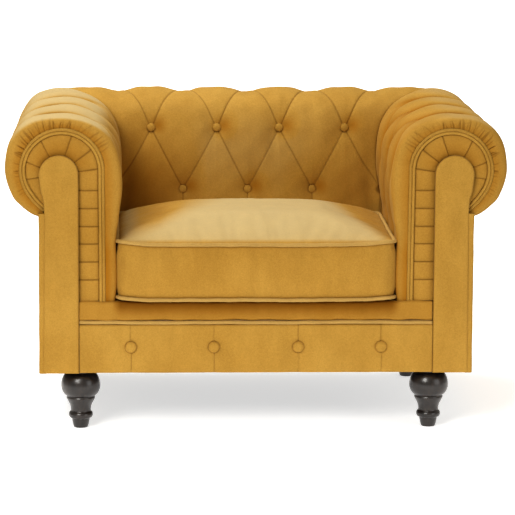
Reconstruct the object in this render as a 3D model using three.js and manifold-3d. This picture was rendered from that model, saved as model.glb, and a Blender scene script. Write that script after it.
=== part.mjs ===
// Rolled-arm tufted armchair with a loose seat cushion. Millimetres, +Z up, the front faces -Y.
// The origin is on the floor under the middle of the chair's overall box.
import * as THREE from 'three';
import { mergeVertices } from 'three/addons/utils/BufferGeometryUtils.js';
import Module from 'manifold-3d';

const wasm = await Module();
wasm.setup();

// ---- driving dimensions ---------------------------------------------------------------------
const GAP = 0.3;                  // air left between pieces that touch in the real chair
const FRONT_Y = -389;             // face of the arm facing panels
const BOARD_BACK_Y = -370;        // common back plane of the front boards and pads
const UNDERSIDE_Z = 138;          // bottom edge of the upholstered body
const FRAME_Z = 141;              // bottom of the timber frame, above the dust cover
const RAIL_TOP_Z = 280;           // top of the seat rails
const PAD_BOTTOM_Z = 285;         // bottom of the inside pads and of the seat deck
const DECK_TOP_Z = 307;

const ROLL_R = 122;               // radius of the arm and back rolls
const ROLL_Z = 612;               // height of the roll axes
const ARM_ROLL_X = 458;           // arm roll axis
const BACK_ROLL_Y = 267;          // back roll axis
const INSIDE_ARM_X = 311;         // where the inside arm is proudest
const INSIDE_BACK_Y = 145;        // where the inside back is proudest
const OUTSIDE_ARM_X = 503;
const OUTSIDE_BACK_Y = 311;
const ROLL_UNDER_Z = 505;         // underside of the rolls at the outside covers
const ARM_FRONT_ROUND = 35;       // rounding of the front edge of an arm roll

const CHANNEL_IN = 400;           // the timber frame stands in a channel in the arm pads...
const CHANNEL_OUT = 497;
const CHANNEL_BACK = [215, 306];  // ...and in the back pad
const CHANNEL_TOP_Z = 560;

const PANEL = { x0: 411, x1: 501, archZ: 603.5 };
const PANEL_EASE = 3;             // eased front edge of a facing panel
const BAND = { front: -369, back: -349, innerX: 361, archX: 450, archZ: 612, archR: 86 };
const BAND_END = -50;             // degrees, where the band dies into the outer edge of the panel
const WELT_R = 4.5;

const RAIL_WELT_Z = 257;          // piping between the front border and the front rail pad
const FRONT_PAD = { x: 410, y0: -379 };
const RAIL_BUTTON = { r: 13, z: 199, xs: [-291, -98, 98, 291] };
const BACK_BUTTON = { r: 10, y: 171 };
const BACK_BUTTON_ROWS = [
  { z: 642, xs: [-239, -77, 77, 239] },
  { z: 489, xs: [-160, 0, 160] },
];

const CUSHION = { halfX: 315.5, y0: -379.5, y1: 134.5, z0: 307.3, edgeZ: 447, crown: 32 };
const COVER_WALL = 3;
const ZIP = { halfX: 200, z: 378, halfZ: 9 };

const FOOT_X = 408;
const FOOT_YS = { front: -328, rear: 240 };
const BOLT = { r: 4, z0: 95, z1: 178 };

const SPRING = { xs: [-255, -85, 85, 255], r: 2, z: 282.2, y0: -356, y1: 286, sway: 25, turns: 21 };

const COLOURS = {
  velvet: 0xc8994a,
  wood: 0x241a15,
  pine: 0xc9a878,
  steel: 0x9a9c9e,
  foam: 0xe9dfb8,
  lining: 0x26262a,
};

// ---- small geometry helpers -----------------------------------------------------------------
function toSolid(geometry) {
  const bare = geometry.clone();
  bare.deleteAttribute('normal');
  bare.deleteAttribute('uv');
  const merged = mergeVertices(bare, 1e-3);
  return new wasm.Manifold(new wasm.Mesh({
    numProp: 3,
    vertProperties: new Float32Array(merged.attributes.position.array),
    triVerts: new Uint32Array(merged.index.array),
  }));
}

function toGeometry(solid) {
  const mesh = solid.getMesh();
  const geometry = new THREE.BufferGeometry();
  geometry.setAttribute('position', new THREE.BufferAttribute(new Float32Array(mesh.vertProperties), 3));
  geometry.setIndex(new THREE.BufferAttribute(new Uint32Array(mesh.triVerts), 1));
  geometry.computeVertexNormals();
  return geometry;
}

function box(x0, x1, y0, y1, z0, z1) {
  const geometry = new THREE.BoxGeometry(x1 - x0, y1 - y0, z1 - z0);
  geometry.translate((x0 + x1) / 2, (y0 + y1) / 2, (z0 + z1) / 2);
  return toSolid(geometry);
}

// The three axes a section is drawn on: its u, its v, and the way it is extruded.
const ALONG_X = new THREE.Matrix4().makeBasis(
  new THREE.Vector3(0, 1, 0), new THREE.Vector3(0, 0, 1), new THREE.Vector3(1, 0, 0));
const ALONG_MINUS_Y = new THREE.Matrix4().makeBasis(
  new THREE.Vector3(1, 0, 0), new THREE.Vector3(0, 0, 1), new THREE.Vector3(0, -1, 0));
const ALONG_Z = new THREE.Matrix4();

function extrude(points, length, axes, round = 0) {
  const shape = new THREE.Shape(points.map(([u, v]) => new THREE.Vector2(u, v)));
  const geometry = new THREE.ExtrudeGeometry(shape, {
    depth: length - 2 * round,
    bevelEnabled: round > 0,
    bevelThickness: round,
    bevelSize: round,
    bevelOffset: -round,
    bevelSegments: 3,
  });
  geometry.translate(0, 0, round);
  geometry.applyMatrix4(axes);
  return toSolid(geometry);
}

// A section in X and Z, run from y0 back to y1.
function alongY(points, y0, y1, round = 0) {
  return extrude(points, y1 - y0, ALONG_MINUS_Y, round).translate([0, y1, 0]);
}

// A section in Y and Z, run from x0 to x1.
function alongX(points, x0, x1) {
  return extrude(points, x1 - x0, ALONG_X).translate([x0, 0, 0]);
}

// A plan in X and Y, run up from z0 to z1.
function alongZ(points, z0, z1) {
  return extrude(points, z1 - z0, ALONG_Z).translate([0, 0, z0]);
}

function arc(cx, cy, r, from, to, steps) {
  const points = [];
  for (let i = 0; i <= steps; i += 1) {
    const angle = THREE.MathUtils.degToRad(from + (to - from) * i / steps);
    points.push([cx + r * Math.cos(angle), cy + r * Math.sin(angle)]);
  }
  return points;
}

// A body of revolution about +Z from a list of [radius, height], bottom to top.
function turned(profile, segments) {
  const points = profile.map(([r, z]) => new THREE.Vector2(r, z));
  const geometry = new THREE.LatheGeometry(points, segments);
  geometry.rotateX(Math.PI / 2);
  return toSolid(geometry);
}

// A round cord or wire along a list of [x, y, z] points.
function cord(points, radius, steps, sides, closed = false) {
  const path = new THREE.CatmullRomCurve3(
    points.map((p) => new THREE.Vector3(...p)), closed, 'centripetal');
  const section = new THREE.Shape(
    arc(0, 0, radius, 0, 360 - 360 / sides, sides - 1).map(([u, v]) => new THREE.Vector2(u, v)));
  return toSolid(new THREE.ExtrudeGeometry(section, { steps, extrudePath: path }));
}

function mirrored(solid) {
  return solid.mirror([1, 0, 0]);
}

// ---- timber frame ---------------------------------------------------------------------------
const RAIL_BACK_Y = -341;
const POST = { x0: 420, x1: 490, frontBackY: -318, rearFrontY: 250, rearBackY: 298.7, top: 524 };
const SIDE_RAIL = { x0: 430, x1: 458 };
const REAR_RAIL_Y = 262;

function frontSeatRail() {
  const x = POST.x0 - GAP;
  return box(-x, x, BOARD_BACK_Y + GAP, RAIL_BACK_Y, FRAME_Z, RAIL_TOP_Z);
}

function rearSeatRail() {
  const x = 440 - GAP;
  return box(-x, x, REAR_RAIL_Y, POST.rearBackY, FRAME_Z, RAIL_TOP_Z);
}

function sideSeatRail() {
  return box(SIDE_RAIL.x0, SIDE_RAIL.x1, POST.frontBackY + GAP, POST.rearFrontY - GAP,
    FRAME_Z, RAIL_TOP_Z);
}

function frontPost() {
  return box(POST.x0, POST.x1, BOARD_BACK_Y + GAP, POST.frontBackY, FRAME_Z, POST.top);
}

function rearPost() {
  return box(440, POST.x1, POST.rearFrontY, POST.rearBackY, FRAME_Z, POST.top);
}

function armTopRail() {
  return box(POST.x0, POST.x1, -345, 230 - GAP, POST.top + GAP, 555);
}

function backTopRail() {
  return box(-POST.x1, POST.x1, 230, POST.rearBackY, POST.top + GAP, 555);
}

function boltHole(y) {
  const r = BOLT.r + GAP;
  const z1 = BOLT.z1 + 1;
  return turned([[0, 0], [r, 0], [r, z1], [0, z1]], 12).translate([FOOT_X, y, 0]);
}

function frontCornerBlock() {
  const y0 = RAIL_BACK_Y + GAP;
  const y1 = POST.frontBackY + GAP;
  const x1 = SIDE_RAIL.x0 - GAP;
  const plan = [[330, y0], [POST.x0 - GAP, y0], [POST.x0 - GAP, y1], [x1, y1], [x1, y0 + 100]];
  return alongZ(plan, FRAME_Z, 200).subtract(boltHole(FOOT_YS.front));
}

function rearCornerBlock() {
  const y1 = REAR_RAIL_Y - GAP;
  const x1 = SIDE_RAIL.x0 - GAP;
  const plan = [[x1, y1 - 95], [x1, y1], [x1 - 95, y1]];
  return alongZ(plan, FRAME_Z, 200).subtract(boltHole(FOOT_YS.rear));
}

// ---- springs, deck and dust cover -----------------------------------------------------------
function sinuousSpring(x) {
  const pitch = (SPRING.y1 - SPRING.y0) / SPRING.turns;
  const points = [[x, SPRING.y0, SPRING.z]];
  for (let i = 0; i < SPRING.turns; i += 1) {
    const side = i % 2 === 0 ? SPRING.sway : -SPRING.sway;
    points.push([x + side, SPRING.y0 + pitch * (i + 0.3), SPRING.z]);
    points.push([x + side, SPRING.y0 + pitch * (i + 0.7), SPRING.z]);
  }
  points.push([x, SPRING.y1, SPRING.z]);
  return cord(points, SPRING.r, 84, 5);
}

function seatDeck() {
  return box(-329, 329, BOARD_BACK_Y + GAP, 144, PAD_BOTTOM_Z, DECK_TOP_Z);
}

function dustCover() {
  let sheet = box(-489, 489, BOARD_BACK_Y + GAP, POST.rearBackY, UNDERSIDE_Z, FRAME_Z - GAP);
  for (const y of Object.values(FOOT_YS)) {
    sheet = sheet.subtract(boltHole(y)).subtract(mirrored(boltHole(y)));
  }
  return sheet;
}

// ---- feet -----------------------------------------------------------------------------------
const FOOT_PROFILE = [
  [0, 0], [15, 0], [17, 2.5], [20.8, 21], [26, 24.5], [28, 31], [26, 37], [23.5, 41], [24.2, 49],
  [28, 60], [33, 69], [33, 73], [38, 77], [43.5, 88], [45.6, 102], [43.5, 116], [36, 128],
  [30, 132], [30, UNDERSIDE_Z - GAP], [0, UNDERSIDE_Z - GAP],
];

function turnedFoot(y) {
  const r = BOLT.r + GAP;
  const z0 = BOLT.z0 - 1;
  const hole = turned([[0, z0], [r, z0], [r, UNDERSIDE_Z + 5], [0, UNDERSIDE_Z + 5]], 12);
  return turned(FOOT_PROFILE, 20).subtract(hole).translate([FOOT_X, y, 0]);
}

function hangerBolt(y) {
  const profile = [[0, BOLT.z0], [BOLT.r, BOLT.z0], [BOLT.r, BOLT.z1], [0, BOLT.z1]];
  return turned(profile, 10).translate([FOOT_X, y, 0]);
}

// ---- inside pads ----------------------------------------------------------------------------
// Sections run up the inside face, over the roll and back to its underside.
function armSection() {
  return [
    [330, PAD_BOTTOM_Z], [329, 330], [328, 400], [326.5, 447], [318, 500], [INSIDE_ARM_X, 560],
    [INSIDE_ARM_X + 1, 620], [324, 664], [355, 705], [404, 728],
    ...arc(ARM_ROLL_X, ROLL_Z, ROLL_R, 90, -45, 9),
    [522, 509], [OUTSIDE_ARM_X, ROLL_UNDER_Z], [OUTSIDE_ARM_X, PAD_BOTTOM_Z],
  ].reverse();
}

function backSection() {
  return [
    [155, PAD_BOTTOM_Z], [150, 330], [148, 447], [146, 520], [INSIDE_BACK_Y, 600], [149, 648],
    [165, 690], [190, 716], [226, 730],
    ...arc(BACK_ROLL_Y, ROLL_Z, ROLL_R, 90, -45, 9),
    [330, 509], [OUTSIDE_BACK_Y, ROLL_UNDER_Z], [OUTSIDE_BACK_Y, PAD_BOTTOM_Z],
  ].reverse();
}

// Plan line of the mitre between an arm pad and the back pad.
const MITRE = [[250, 84], [INSIDE_ARM_X, INSIDE_BACK_Y], [ARM_ROLL_X, BACK_ROLL_Y], [620, 429]];

function frameChannels() {
  const [y0, y1] = CHANNEL_BACK;
  const below = ROLL_UNDER_Z + GAP;
  const out = OUTSIDE_ARM_X + 1;
  const armLow = box(CHANNEL_IN, out, BAND.back, OUTSIDE_BACK_Y + 1, 100, below);
  const armHigh = box(CHANNEL_IN, CHANNEL_OUT, BAND.back, y1, 100, CHANNEL_TOP_Z);
  const backLow = box(-out, out, y0, OUTSIDE_BACK_Y + 1, 100, below);
  const backHigh = box(-CHANNEL_OUT, CHANNEL_OUT, y0, y1, 100, CHANNEL_TOP_Z);
  return armLow.add(armHigh).add(backLow).add(backHigh);
}

function armPad() {
  const plan = [...MITRE, [700, 429], [700, -500], [250, -500]];
  const armSide = alongZ(plan.reverse(), 0, 900).translate([GAP, -GAP, 0]);
  const grow = 2 * WELT_R + 4 * GAP;
  const mouthSection = [
    [BAND.innerX - grow, 100],
    ...bandOutline(grow, BAND_END - 6),
    [OUTSIDE_ARM_X + 1, ROLL_UNDER_Z],
    [OUTSIDE_ARM_X + 1, 100],
  ];
  const front = alongY(mouthSection.reverse(), -500, BAND.back);
  return alongY(armSection(), BAND.front, 520, ARM_FRONT_ROUND)
    .intersect(armSide)
    .subtract(front)
    .subtract(frameChannels());
}

function backPad() {
  const left = MITRE.map(([x, y]) => [-x, y]).reverse();
  const backSide = alongZ([...left, ...MITRE], 0, 900);
  let pad = alongX(backSection(), -640, 640).intersect(backSide).subtract(frameChannels());
  pad = pad.subtract(mirrored(frameChannels()));
  for (const [x, z] of backButtonPlaces()) {
    pad = pad.subtract(tuftHollow().translate([x, BACK_BUTTON.y + GAP, z]));
  }
  return pad;
}

function backButtonPlaces() {
  return BACK_BUTTON_ROWS.flatMap((row) => row.xs.map((x) => [x, row.z]));
}

// The cone a buttoned-down tuft leaves in the pad, opening towards the front.
function tuftHollow() {
  const depth = 40;
  return turned([[0, 0], [BACK_BUTTON.r + 1, 0], [34, depth], [0, depth]], 12).rotate([90, 0, 0]);
}

// ---- buttons --------------------------------------------------------------------------------
function button(r, x, y, z) {
  const profile = [[0, 0], [r, 0], [r, 2], [0.8 * r, 4.6], [0.4 * r, 6.3], [0, 6.8]];
  return turned(profile, 12).rotate([90, 0, 0]).translate([x, y, z]);
}

// ---- arm fronts -----------------------------------------------------------------------------
function panelOutline(grow = 0) {
  const r = (PANEL.x1 - PANEL.x0) / 2;
  const cx = (PANEL.x1 + PANEL.x0) / 2;
  return [
    [PANEL.x0 - grow, UNDERSIDE_Z],
    [PANEL.x1 + grow, UNDERSIDE_Z],
    ...arc(cx, PANEL.archZ, r + grow, 0, 180, 14),
  ];
}

// The outer line of the pleated band, from its foot at the seat up and over the arch.
function bandOutline(grow = 0, end = BAND_END) {
  const r = BAND.archR + grow;
  return [
    [BAND.innerX - grow, DECK_TOP_Z + GAP],
    ...arc(BAND.archX, BAND.archZ, r, 178, end, 18),
  ];
}

function facingPanel() {
  return alongY(panelOutline(), FRONT_Y, BOARD_BACK_Y, PANEL_EASE);
}

function pleatedBand() {
  const cx = (PANEL.x0 + PANEL.x1) / 2;
  const outline = [...bandOutline(), [cx, 525], [cx, DECK_TOP_Z + GAP]];
  const panel = alongY(panelOutline(GAP), -500, 0);
  return alongY(outline.reverse(), BAND.front, BAND.back - GAP).subtract(panel);
}

function armPiping() {
  const line = bandOutline(WELT_R + GAP).slice(1);
  const y = BAND.front + 3;
  const foot = [BAND.innerX - WELT_R - GAP, DECK_TOP_Z + GAP + WELT_R];
  return cord([foot, ...line].map(([x, z]) => [x, y, z]), WELT_R, 40, 6);
}

// ---- outside covers and front of the seat ---------------------------------------------------
function outsideArm() {
  return box(POST.x1 + 0.5, OUTSIDE_ARM_X, BOARD_BACK_Y + GAP, OUTSIDE_BACK_Y,
    UNDERSIDE_Z, ROLL_UNDER_Z);
}

function outsideBack() {
  return box(-POST.x1, POST.x1, POST.rearBackY + GAP, OUTSIDE_BACK_Y, UNDERSIDE_Z, ROLL_UNDER_Z);
}

// A strip of the front, its face edges rounded a little.
function frontStrip(z0, z1) {
  const { x, y0 } = FRONT_PAD;
  const ease = 3;
  const section = [
    [BOARD_BACK_Y, z0], [BOARD_BACK_Y, z1], [y0 + ease, z1], [y0, z1 - ease], [y0, z0 + ease],
    [y0 + ease, z0],
  ];
  return alongX(section, -x, x);
}

function frontBorder() {
  return frontStrip(RAIL_WELT_Z + WELT_R + GAP, DECK_TOP_Z);
}

function frontRailPad() {
  return frontStrip(UNDERSIDE_Z, RAIL_WELT_Z - WELT_R - GAP);
}

function railPiping() {
  const x = FRONT_PAD.x;
  const y = FRONT_PAD.y0 + 2;
  return cord([[-x, y, RAIL_WELT_Z], [0, y, RAIL_WELT_Z], [x, y, RAIL_WELT_Z]], WELT_R, 2, 8);
}

// ---- loose seat cushion ---------------------------------------------------------------------
// A box whose top is crowned and whose sides bow out a little between the corners.
function crownedBox(inset) {
  const halfX = CUSHION.halfX - inset;
  const halfY = (CUSHION.y1 - CUSHION.y0) / 2 - inset;
  const cy = (CUSHION.y1 + CUSHION.y0) / 2;
  const z0 = CUSHION.z0 + inset;
  const height = CUSHION.edgeZ - inset - z0;
  const geometry = new THREE.BoxGeometry(2, 2, 1, 8, 8, 3);
  const position = geometry.attributes.position;
  for (let i = 0; i < position.count; i += 1) {
    const u = position.getX(i);
    const v = position.getY(i);
    const w = position.getZ(i) + 0.5;
    const dome = (1 - u * u) * (1 - v * v);
    const pull = 1 - 0.024 * (u * v) ** 8;
    const z = z0 + w * height + (w > 0.99 ? CUSHION.crown * dome : 0);
    position.setXYZ(i, u * halfX * pull, cy + v * halfY * pull, z);
  }
  return toSolid(geometry);
}

function cushionCover() {
  const slot = box(-ZIP.halfX, ZIP.halfX, CUSHION.y1 - 12, CUSHION.y1 + 12,
    ZIP.z - ZIP.halfZ, ZIP.z + ZIP.halfZ);
  return crownedBox(0).subtract(crownedBox(COVER_WALL)).subtract(slot);
}

function cushionCore() {
  return crownedBox(COVER_WALL + GAP);
}

function cushionZip() {
  const x = ZIP.halfX - GAP;
  const z = ZIP.halfZ - GAP;
  return box(-x, x, CUSHION.y1 - COVER_WALL, CUSHION.y1 + 1.5, ZIP.z - z, ZIP.z + z);
}

function cushionWelt(z) {
  const off = WELT_R + GAP;
  const x = CUSHION.halfX + off;
  const y0 = CUSHION.y0 - off;
  const y1 = CUSHION.y1 + off;
  const r = 22;
  const corners = [
    ...arc(x - r, y1 - r, r, 0, 90, 4),
    ...arc(-x + r, y1 - r, r, 90, 180, 4),
    ...arc(-x + r, y0 + r, r, 180, 270, 4),
    ...arc(x - r, y0 + r, r, 270, 360, 4),
  ];
  return weltRing(corners.map(([u, v]) => new THREE.Vector3(u, v, z)));
}

// A cord of eight sides whose ring follows the given corners exactly.
function weltRing(corners) {
  const sides = 8;
  const count = corners.length;
  const vertices = [];
  const faces = [];
  corners.forEach((corner, i) => {
    const before = corners[(i + count - 1) % count];
    const after = corners[(i + 1) % count];
    const along = after.clone().sub(before).normalize();
    const outward = new THREE.Vector3(along.y, -along.x, 0);
    for (let s = 0; s < sides; s += 1) {
      const angle = 2 * Math.PI * s / sides;
      const point = corner.clone().addScaledVector(outward, WELT_R * Math.cos(angle));
      vertices.push(point.x, point.y, point.z + WELT_R * Math.sin(angle));
      const a = i * sides + s;
      const b = i * sides + (s + 1) % sides;
      const c = ((i + 1) % count) * sides + s;
      const d = ((i + 1) % count) * sides + (s + 1) % sides;
      faces.push(a, c, b, b, c, d);
    }
  });
  return new wasm.Manifold(new wasm.Mesh({
    numProp: 3,
    vertProperties: new Float32Array(vertices),
    triVerts: new Uint32Array(faces),
  }));
}

// ---- assembly -------------------------------------------------------------------------------
const chair = new THREE.Group();
chair.name = 'armchair';

function add(name, solid, colour, roughness = 0.9, metalness = 0) {
  const material = new THREE.MeshStandardMaterial({ color: colour, roughness, metalness });
  const mesh = new THREE.Mesh(toGeometry(solid), material);
  mesh.name = name;
  chair.add(mesh);
}

function addPair(name, solid, colour, roughness, metalness) {
  add(`right_${name}`, solid, colour, roughness, metalness);
  add(`left_${name}`, mirrored(solid), colour, roughness, metalness);
}

function addFrame() {
  add('front_seat_rail', frontSeatRail(), COLOURS.pine);
  add('rear_seat_rail', rearSeatRail(), COLOURS.pine);
  add('back_top_rail', backTopRail(), COLOURS.pine);
  addPair('side_seat_rail', sideSeatRail(), COLOURS.pine);
  addPair('front_post', frontPost(), COLOURS.pine);
  addPair('rear_post', rearPost(), COLOURS.pine);
  addPair('arm_top_rail', armTopRail(), COLOURS.pine);
  addPair('front_corner_block', frontCornerBlock(), COLOURS.pine);
  addPair('rear_corner_block', rearCornerBlock(), COLOURS.pine);
}

function addSeatBase() {
  SPRING.xs.forEach((x, i) => add(`seat_spring_${i + 1}`, sinuousSpring(x), COLOURS.steel, 0.4, 1));
  add('seat_deck', seatDeck(), COLOURS.velvet);
  add('dust_cover', dustCover(), COLOURS.lining);
}

function addFeet() {
  for (const [end, y] of Object.entries(FOOT_YS)) {
    addPair(`${end}_foot`, turnedFoot(y), COLOURS.wood, 0.35);
    addPair(`${end}_foot_bolt`, hangerBolt(y), COLOURS.steel, 0.4, 1);
  }
}

function addUpholstery() {
  add('back_pad', backPad(), COLOURS.velvet);
  addPair('arm_pad', armPad(), COLOURS.velvet);
  addPair('facing_panel', facingPanel(), COLOURS.velvet);
  addPair('pleated_band', pleatedBand(), COLOURS.velvet);
  addPair('arm_piping', armPiping(), COLOURS.velvet);
  addPair('outside_arm', outsideArm(), COLOURS.velvet);
  add('outside_back', outsideBack(), COLOURS.velvet);
  add('front_border', frontBorder(), COLOURS.velvet);
  add('front_rail_pad', frontRailPad(), COLOURS.velvet);
  add('rail_piping', railPiping(), COLOURS.velvet);
}

function addButtons() {
  RAIL_BUTTON.xs.forEach((x, i) => {
    const solid = button(RAIL_BUTTON.r, x, FRONT_PAD.y0 - GAP, RAIL_BUTTON.z);
    add(`rail_button_${i + 1}`, solid, COLOURS.velvet);
  });
  backButtonPlaces().forEach(([x, z], i) => {
    add(`back_button_${i + 1}`, button(BACK_BUTTON.r, x, BACK_BUTTON.y, z), COLOURS.velvet);
  });
}

function addCushion() {
  add('cushion_core', cushionCore(), COLOURS.foam);
  add('cushion_cover', cushionCover(), COLOURS.velvet);
  add('cushion_zip', cushionZip(), COLOURS.lining);
  add('cushion_top_welt', cushionWelt(CUSHION.edgeZ - WELT_R - 2), COLOURS.velvet);
  add('cushion_bottom_welt', cushionWelt(CUSHION.z0 + WELT_R + 2), COLOURS.velvet);
}

addFrame();
addSeatBase();
addFeet();
addUpholstery();
addButtons();
addCushion();

export default chair;
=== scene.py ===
"""Looks of a rolled-arm, deep-buttoned armchair with a loose seat cushion.

Metres, +Z up, the front faces -Y. Surfaces are built as grids of points in numpy: a smooth section is
swept along the chair, then tufts, seams and gathers push each point in along its normal. The seat
cushion's cover is swollen by the cloth solver. Two values at each point steer the velvet: "crease" darkens
the seams and lays painted shade in some folds and under the cushion, and the second value is painted
light: warm, dark painted shade above 0 and pale painted highlight below.
"""
import math

import bmesh
import bpy
import numpy as np
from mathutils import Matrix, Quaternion, Vector


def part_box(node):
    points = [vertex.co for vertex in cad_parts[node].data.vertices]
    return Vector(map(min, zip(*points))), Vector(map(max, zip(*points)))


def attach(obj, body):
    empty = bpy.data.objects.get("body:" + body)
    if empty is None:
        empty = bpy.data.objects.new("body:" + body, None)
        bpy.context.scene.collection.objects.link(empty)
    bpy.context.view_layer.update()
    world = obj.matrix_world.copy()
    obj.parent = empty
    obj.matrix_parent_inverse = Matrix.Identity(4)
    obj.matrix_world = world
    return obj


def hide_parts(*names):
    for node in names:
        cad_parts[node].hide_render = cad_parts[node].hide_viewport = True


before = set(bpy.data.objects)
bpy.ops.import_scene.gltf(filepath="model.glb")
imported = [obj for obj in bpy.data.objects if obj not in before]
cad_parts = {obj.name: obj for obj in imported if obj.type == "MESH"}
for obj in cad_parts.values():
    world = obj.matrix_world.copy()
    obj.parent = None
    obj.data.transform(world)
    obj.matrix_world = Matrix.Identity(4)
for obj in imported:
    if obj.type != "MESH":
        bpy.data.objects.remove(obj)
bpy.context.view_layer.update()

# ---- main lines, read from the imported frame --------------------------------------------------
PANEL_LO, PANEL_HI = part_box("right_facing_panel")
BAND_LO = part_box("right_pleated_band")[0]
CUSHION_LO, CUSHION_HI = (np.array(corner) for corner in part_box("cushion_cover"))
WELT_LO, WELT_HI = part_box("cushion_top_welt")
PAD_LO, PAD_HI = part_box("front_rail_pad")
BORDER_LO, BORDER_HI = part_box("front_border")
DECK_LO, DECK_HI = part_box("seat_deck")
SIDE_LO, SIDE_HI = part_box("right_outside_arm")
REAR_LO, REAR_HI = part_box("outside_back")

WELT_R = 0.0045                   # radius of the cords round the cushion and along the rail
WELT_PAINTED_HIGHLIGHT = -0.16                  # pale painted highlight on their cords
ROLL_R = 0.122                    # radius of the arm and back rolls
ROLL_Z = 0.612                    # and the height of their axes
ARM_ROLL_X = 0.458
FRONT_ROUND = 0.028               # how far back the front edge of an arm roll is rounded
CORD_R = 0.0037                   # the arm piping is a pair of these, side by side
CORD_SIDES = 14
MOUTH_X = 0.4495                  # arch of the arm piping
MOUTH_R = 0.0910
ARCH_FOOT_Z = 0.56                # below this the cover meets the piping at its own height
MOUTH_END = -36.0                 # degrees, where that arch straightens
MOUTH_TIP = (0.4900, 0.5215)      # and where it dies into the panel
Y_MOUTH = BAND_LO[1] - 0.001      # where the arm pads meet the piping
Y_TURN = 0.115                    # from here back the arm's columns turn towards the mitre
PLEAT_COLUMNS = (-0.0042, -0.0024, -0.0012, 0.0, 0.0012, 0.0024, 0.0042)     # extra ones beside a pleat
ROUND_STEPS, STRAIGHT_STEPS, TURN_STEPS = 19, 105, 72       # columns of an arm pad, front to mitre
BACK_COLUMNS = 421
MITRE_DEPTH = 0.013               # how far the pads are drawn in where arm and back meet

# Inside face, roll and underside of an arm: x, z. The back's section is the same idea in y, z.
ARM_SECTION = [
    (0.3275, 0.285), (0.3265, 0.310), (0.3240, 0.345), (0.3235, 0.380), (0.3240, 0.410), (0.3255, 0.440),
    (0.3230, 0.470), (0.317, 0.500), (0.311, 0.555),
    (0.312, 0.615), (0.324, 0.664), (0.353, 0.704), (0.402, 0.728), (0.458, 0.734), (0.519, 0.718),
    (0.564, 0.673), (0.580, 0.612), (0.564, 0.551), (0.544, 0.526), (0.522, 0.510), (0.503, 0.503),
    (0.488, 0.502),
]
BACK_SECTION = [
    (0.155, 0.285), (0.151, 0.330), (0.149, 0.400), (0.147, 0.470), (0.145, 0.540), (0.145, 0.600),
    (0.149, 0.648), (0.165, 0.690), (0.190, 0.716), (0.226, 0.730), (0.267, 0.734), (0.328, 0.718),
    (0.373, 0.673), (0.389, 0.612), (0.373, 0.551), (0.353, 0.526), (0.330, 0.510), (0.311, 0.503),
]

# Buttons: height of a row, and where along the pad its buttons are. The roll's pleats start at the low row.
ARM_PLEATS_Y = (-0.2225, -0.0675, 0.0875)
ARM_ROWS = {0.630: (-0.300, -0.145, 0.010), 0.480: ARM_PLEATS_Y}
BACK_ROWS = {0.642: (-0.239, -0.077, 0.077, 0.239), 0.489: (-0.320, -0.160, 0.0, 0.160, 0.320)}
BACK_TUFTS = dict(half_step=0.082, meet=1.28, valley=0.0100, puff=0.0048)
ARM_TUFTS = dict(half_step=0.080, meet=0.85, valley=0.0140, puff=0.0075)
BUTTON_R = 0.0102
CORNER_BUTTON_X = 0.309           # the two half-hidden buttons where the back meets the arms
RAIL_BUTTONS_X = (-0.291, -0.098, 0.098, 0.291)
RAIL_BUTTON_Z = 0.199
RAIL_BUTTON_R = 0.013

# ---- camera and light ------------------------------------------------------------------------
def add_camera():
    """A long lens a little to the left of the chair and a little above it."""
    place = Vector((-0.315, -7.521, 1.647))
    yaw, pitch, roll = 0.0443, 0.1713, 0.0062
    aim = Vector((math.sin(yaw) * math.cos(pitch), math.cos(yaw) * math.cos(pitch), -math.sin(pitch)))
    data = bpy.data.cameras.new("camera")
    data.lens = 219.4
    data.sensor_width = 36.0
    camera = bpy.data.objects.new("camera", data)
    camera.location = place
    camera.rotation_mode = "QUATERNION"
    camera.rotation_quaternion = aim.to_track_quat("-Z", "Y") @ Quaternion((0, 0, 1), roll)
    bpy.context.scene.collection.objects.link(camera)
    bpy.context.scene.camera = camera


def add_area(name, place, target, size, watts, colour=(1.0, 1.0, 1.0)):
    """A softbox aimed at a target."""
    data = bpy.data.lights.new(name, "AREA")
    data.shape = "RECTANGLE"
    data.size, data.size_y = size
    data.energy = watts
    data.color = colour
    light = bpy.data.objects.new(name, data)
    light.location = place
    light.rotation_mode = "QUATERNION"
    light.rotation_quaternion = (Vector(target) - Vector(place)).to_track_quat("-Z", "Y")
    bpy.context.scene.collection.objects.link(light)


def add_lights():
    """Warm even light, a key from the upper left, a weak fill from the right and one from above."""
    world = bpy.data.worlds.new("studio")
    world.use_nodes = True
    background = world.node_tree.nodes["Background"]
    background.inputs["Color"].default_value = (1.0, 0.95, 0.86, 1.0)
    background.inputs["Strength"].default_value = 0.41
    bpy.context.scene.world = world
    add_area("key", (-1.8, -4.0, 2.8), (0.0, -0.1, 0.4), (1.8, 1.8), 113, (1.0, 0.98, 0.94))
    add_area("fill", (3.6, -3.4, 1.3), (0.0, 0.0, 0.4), (2.4, 2.4), 32)
    add_area("top", (-0.9, 0.5, 3.2), (0.0, 0.0, 0.5), (2.2, 1.6), 64)


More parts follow.
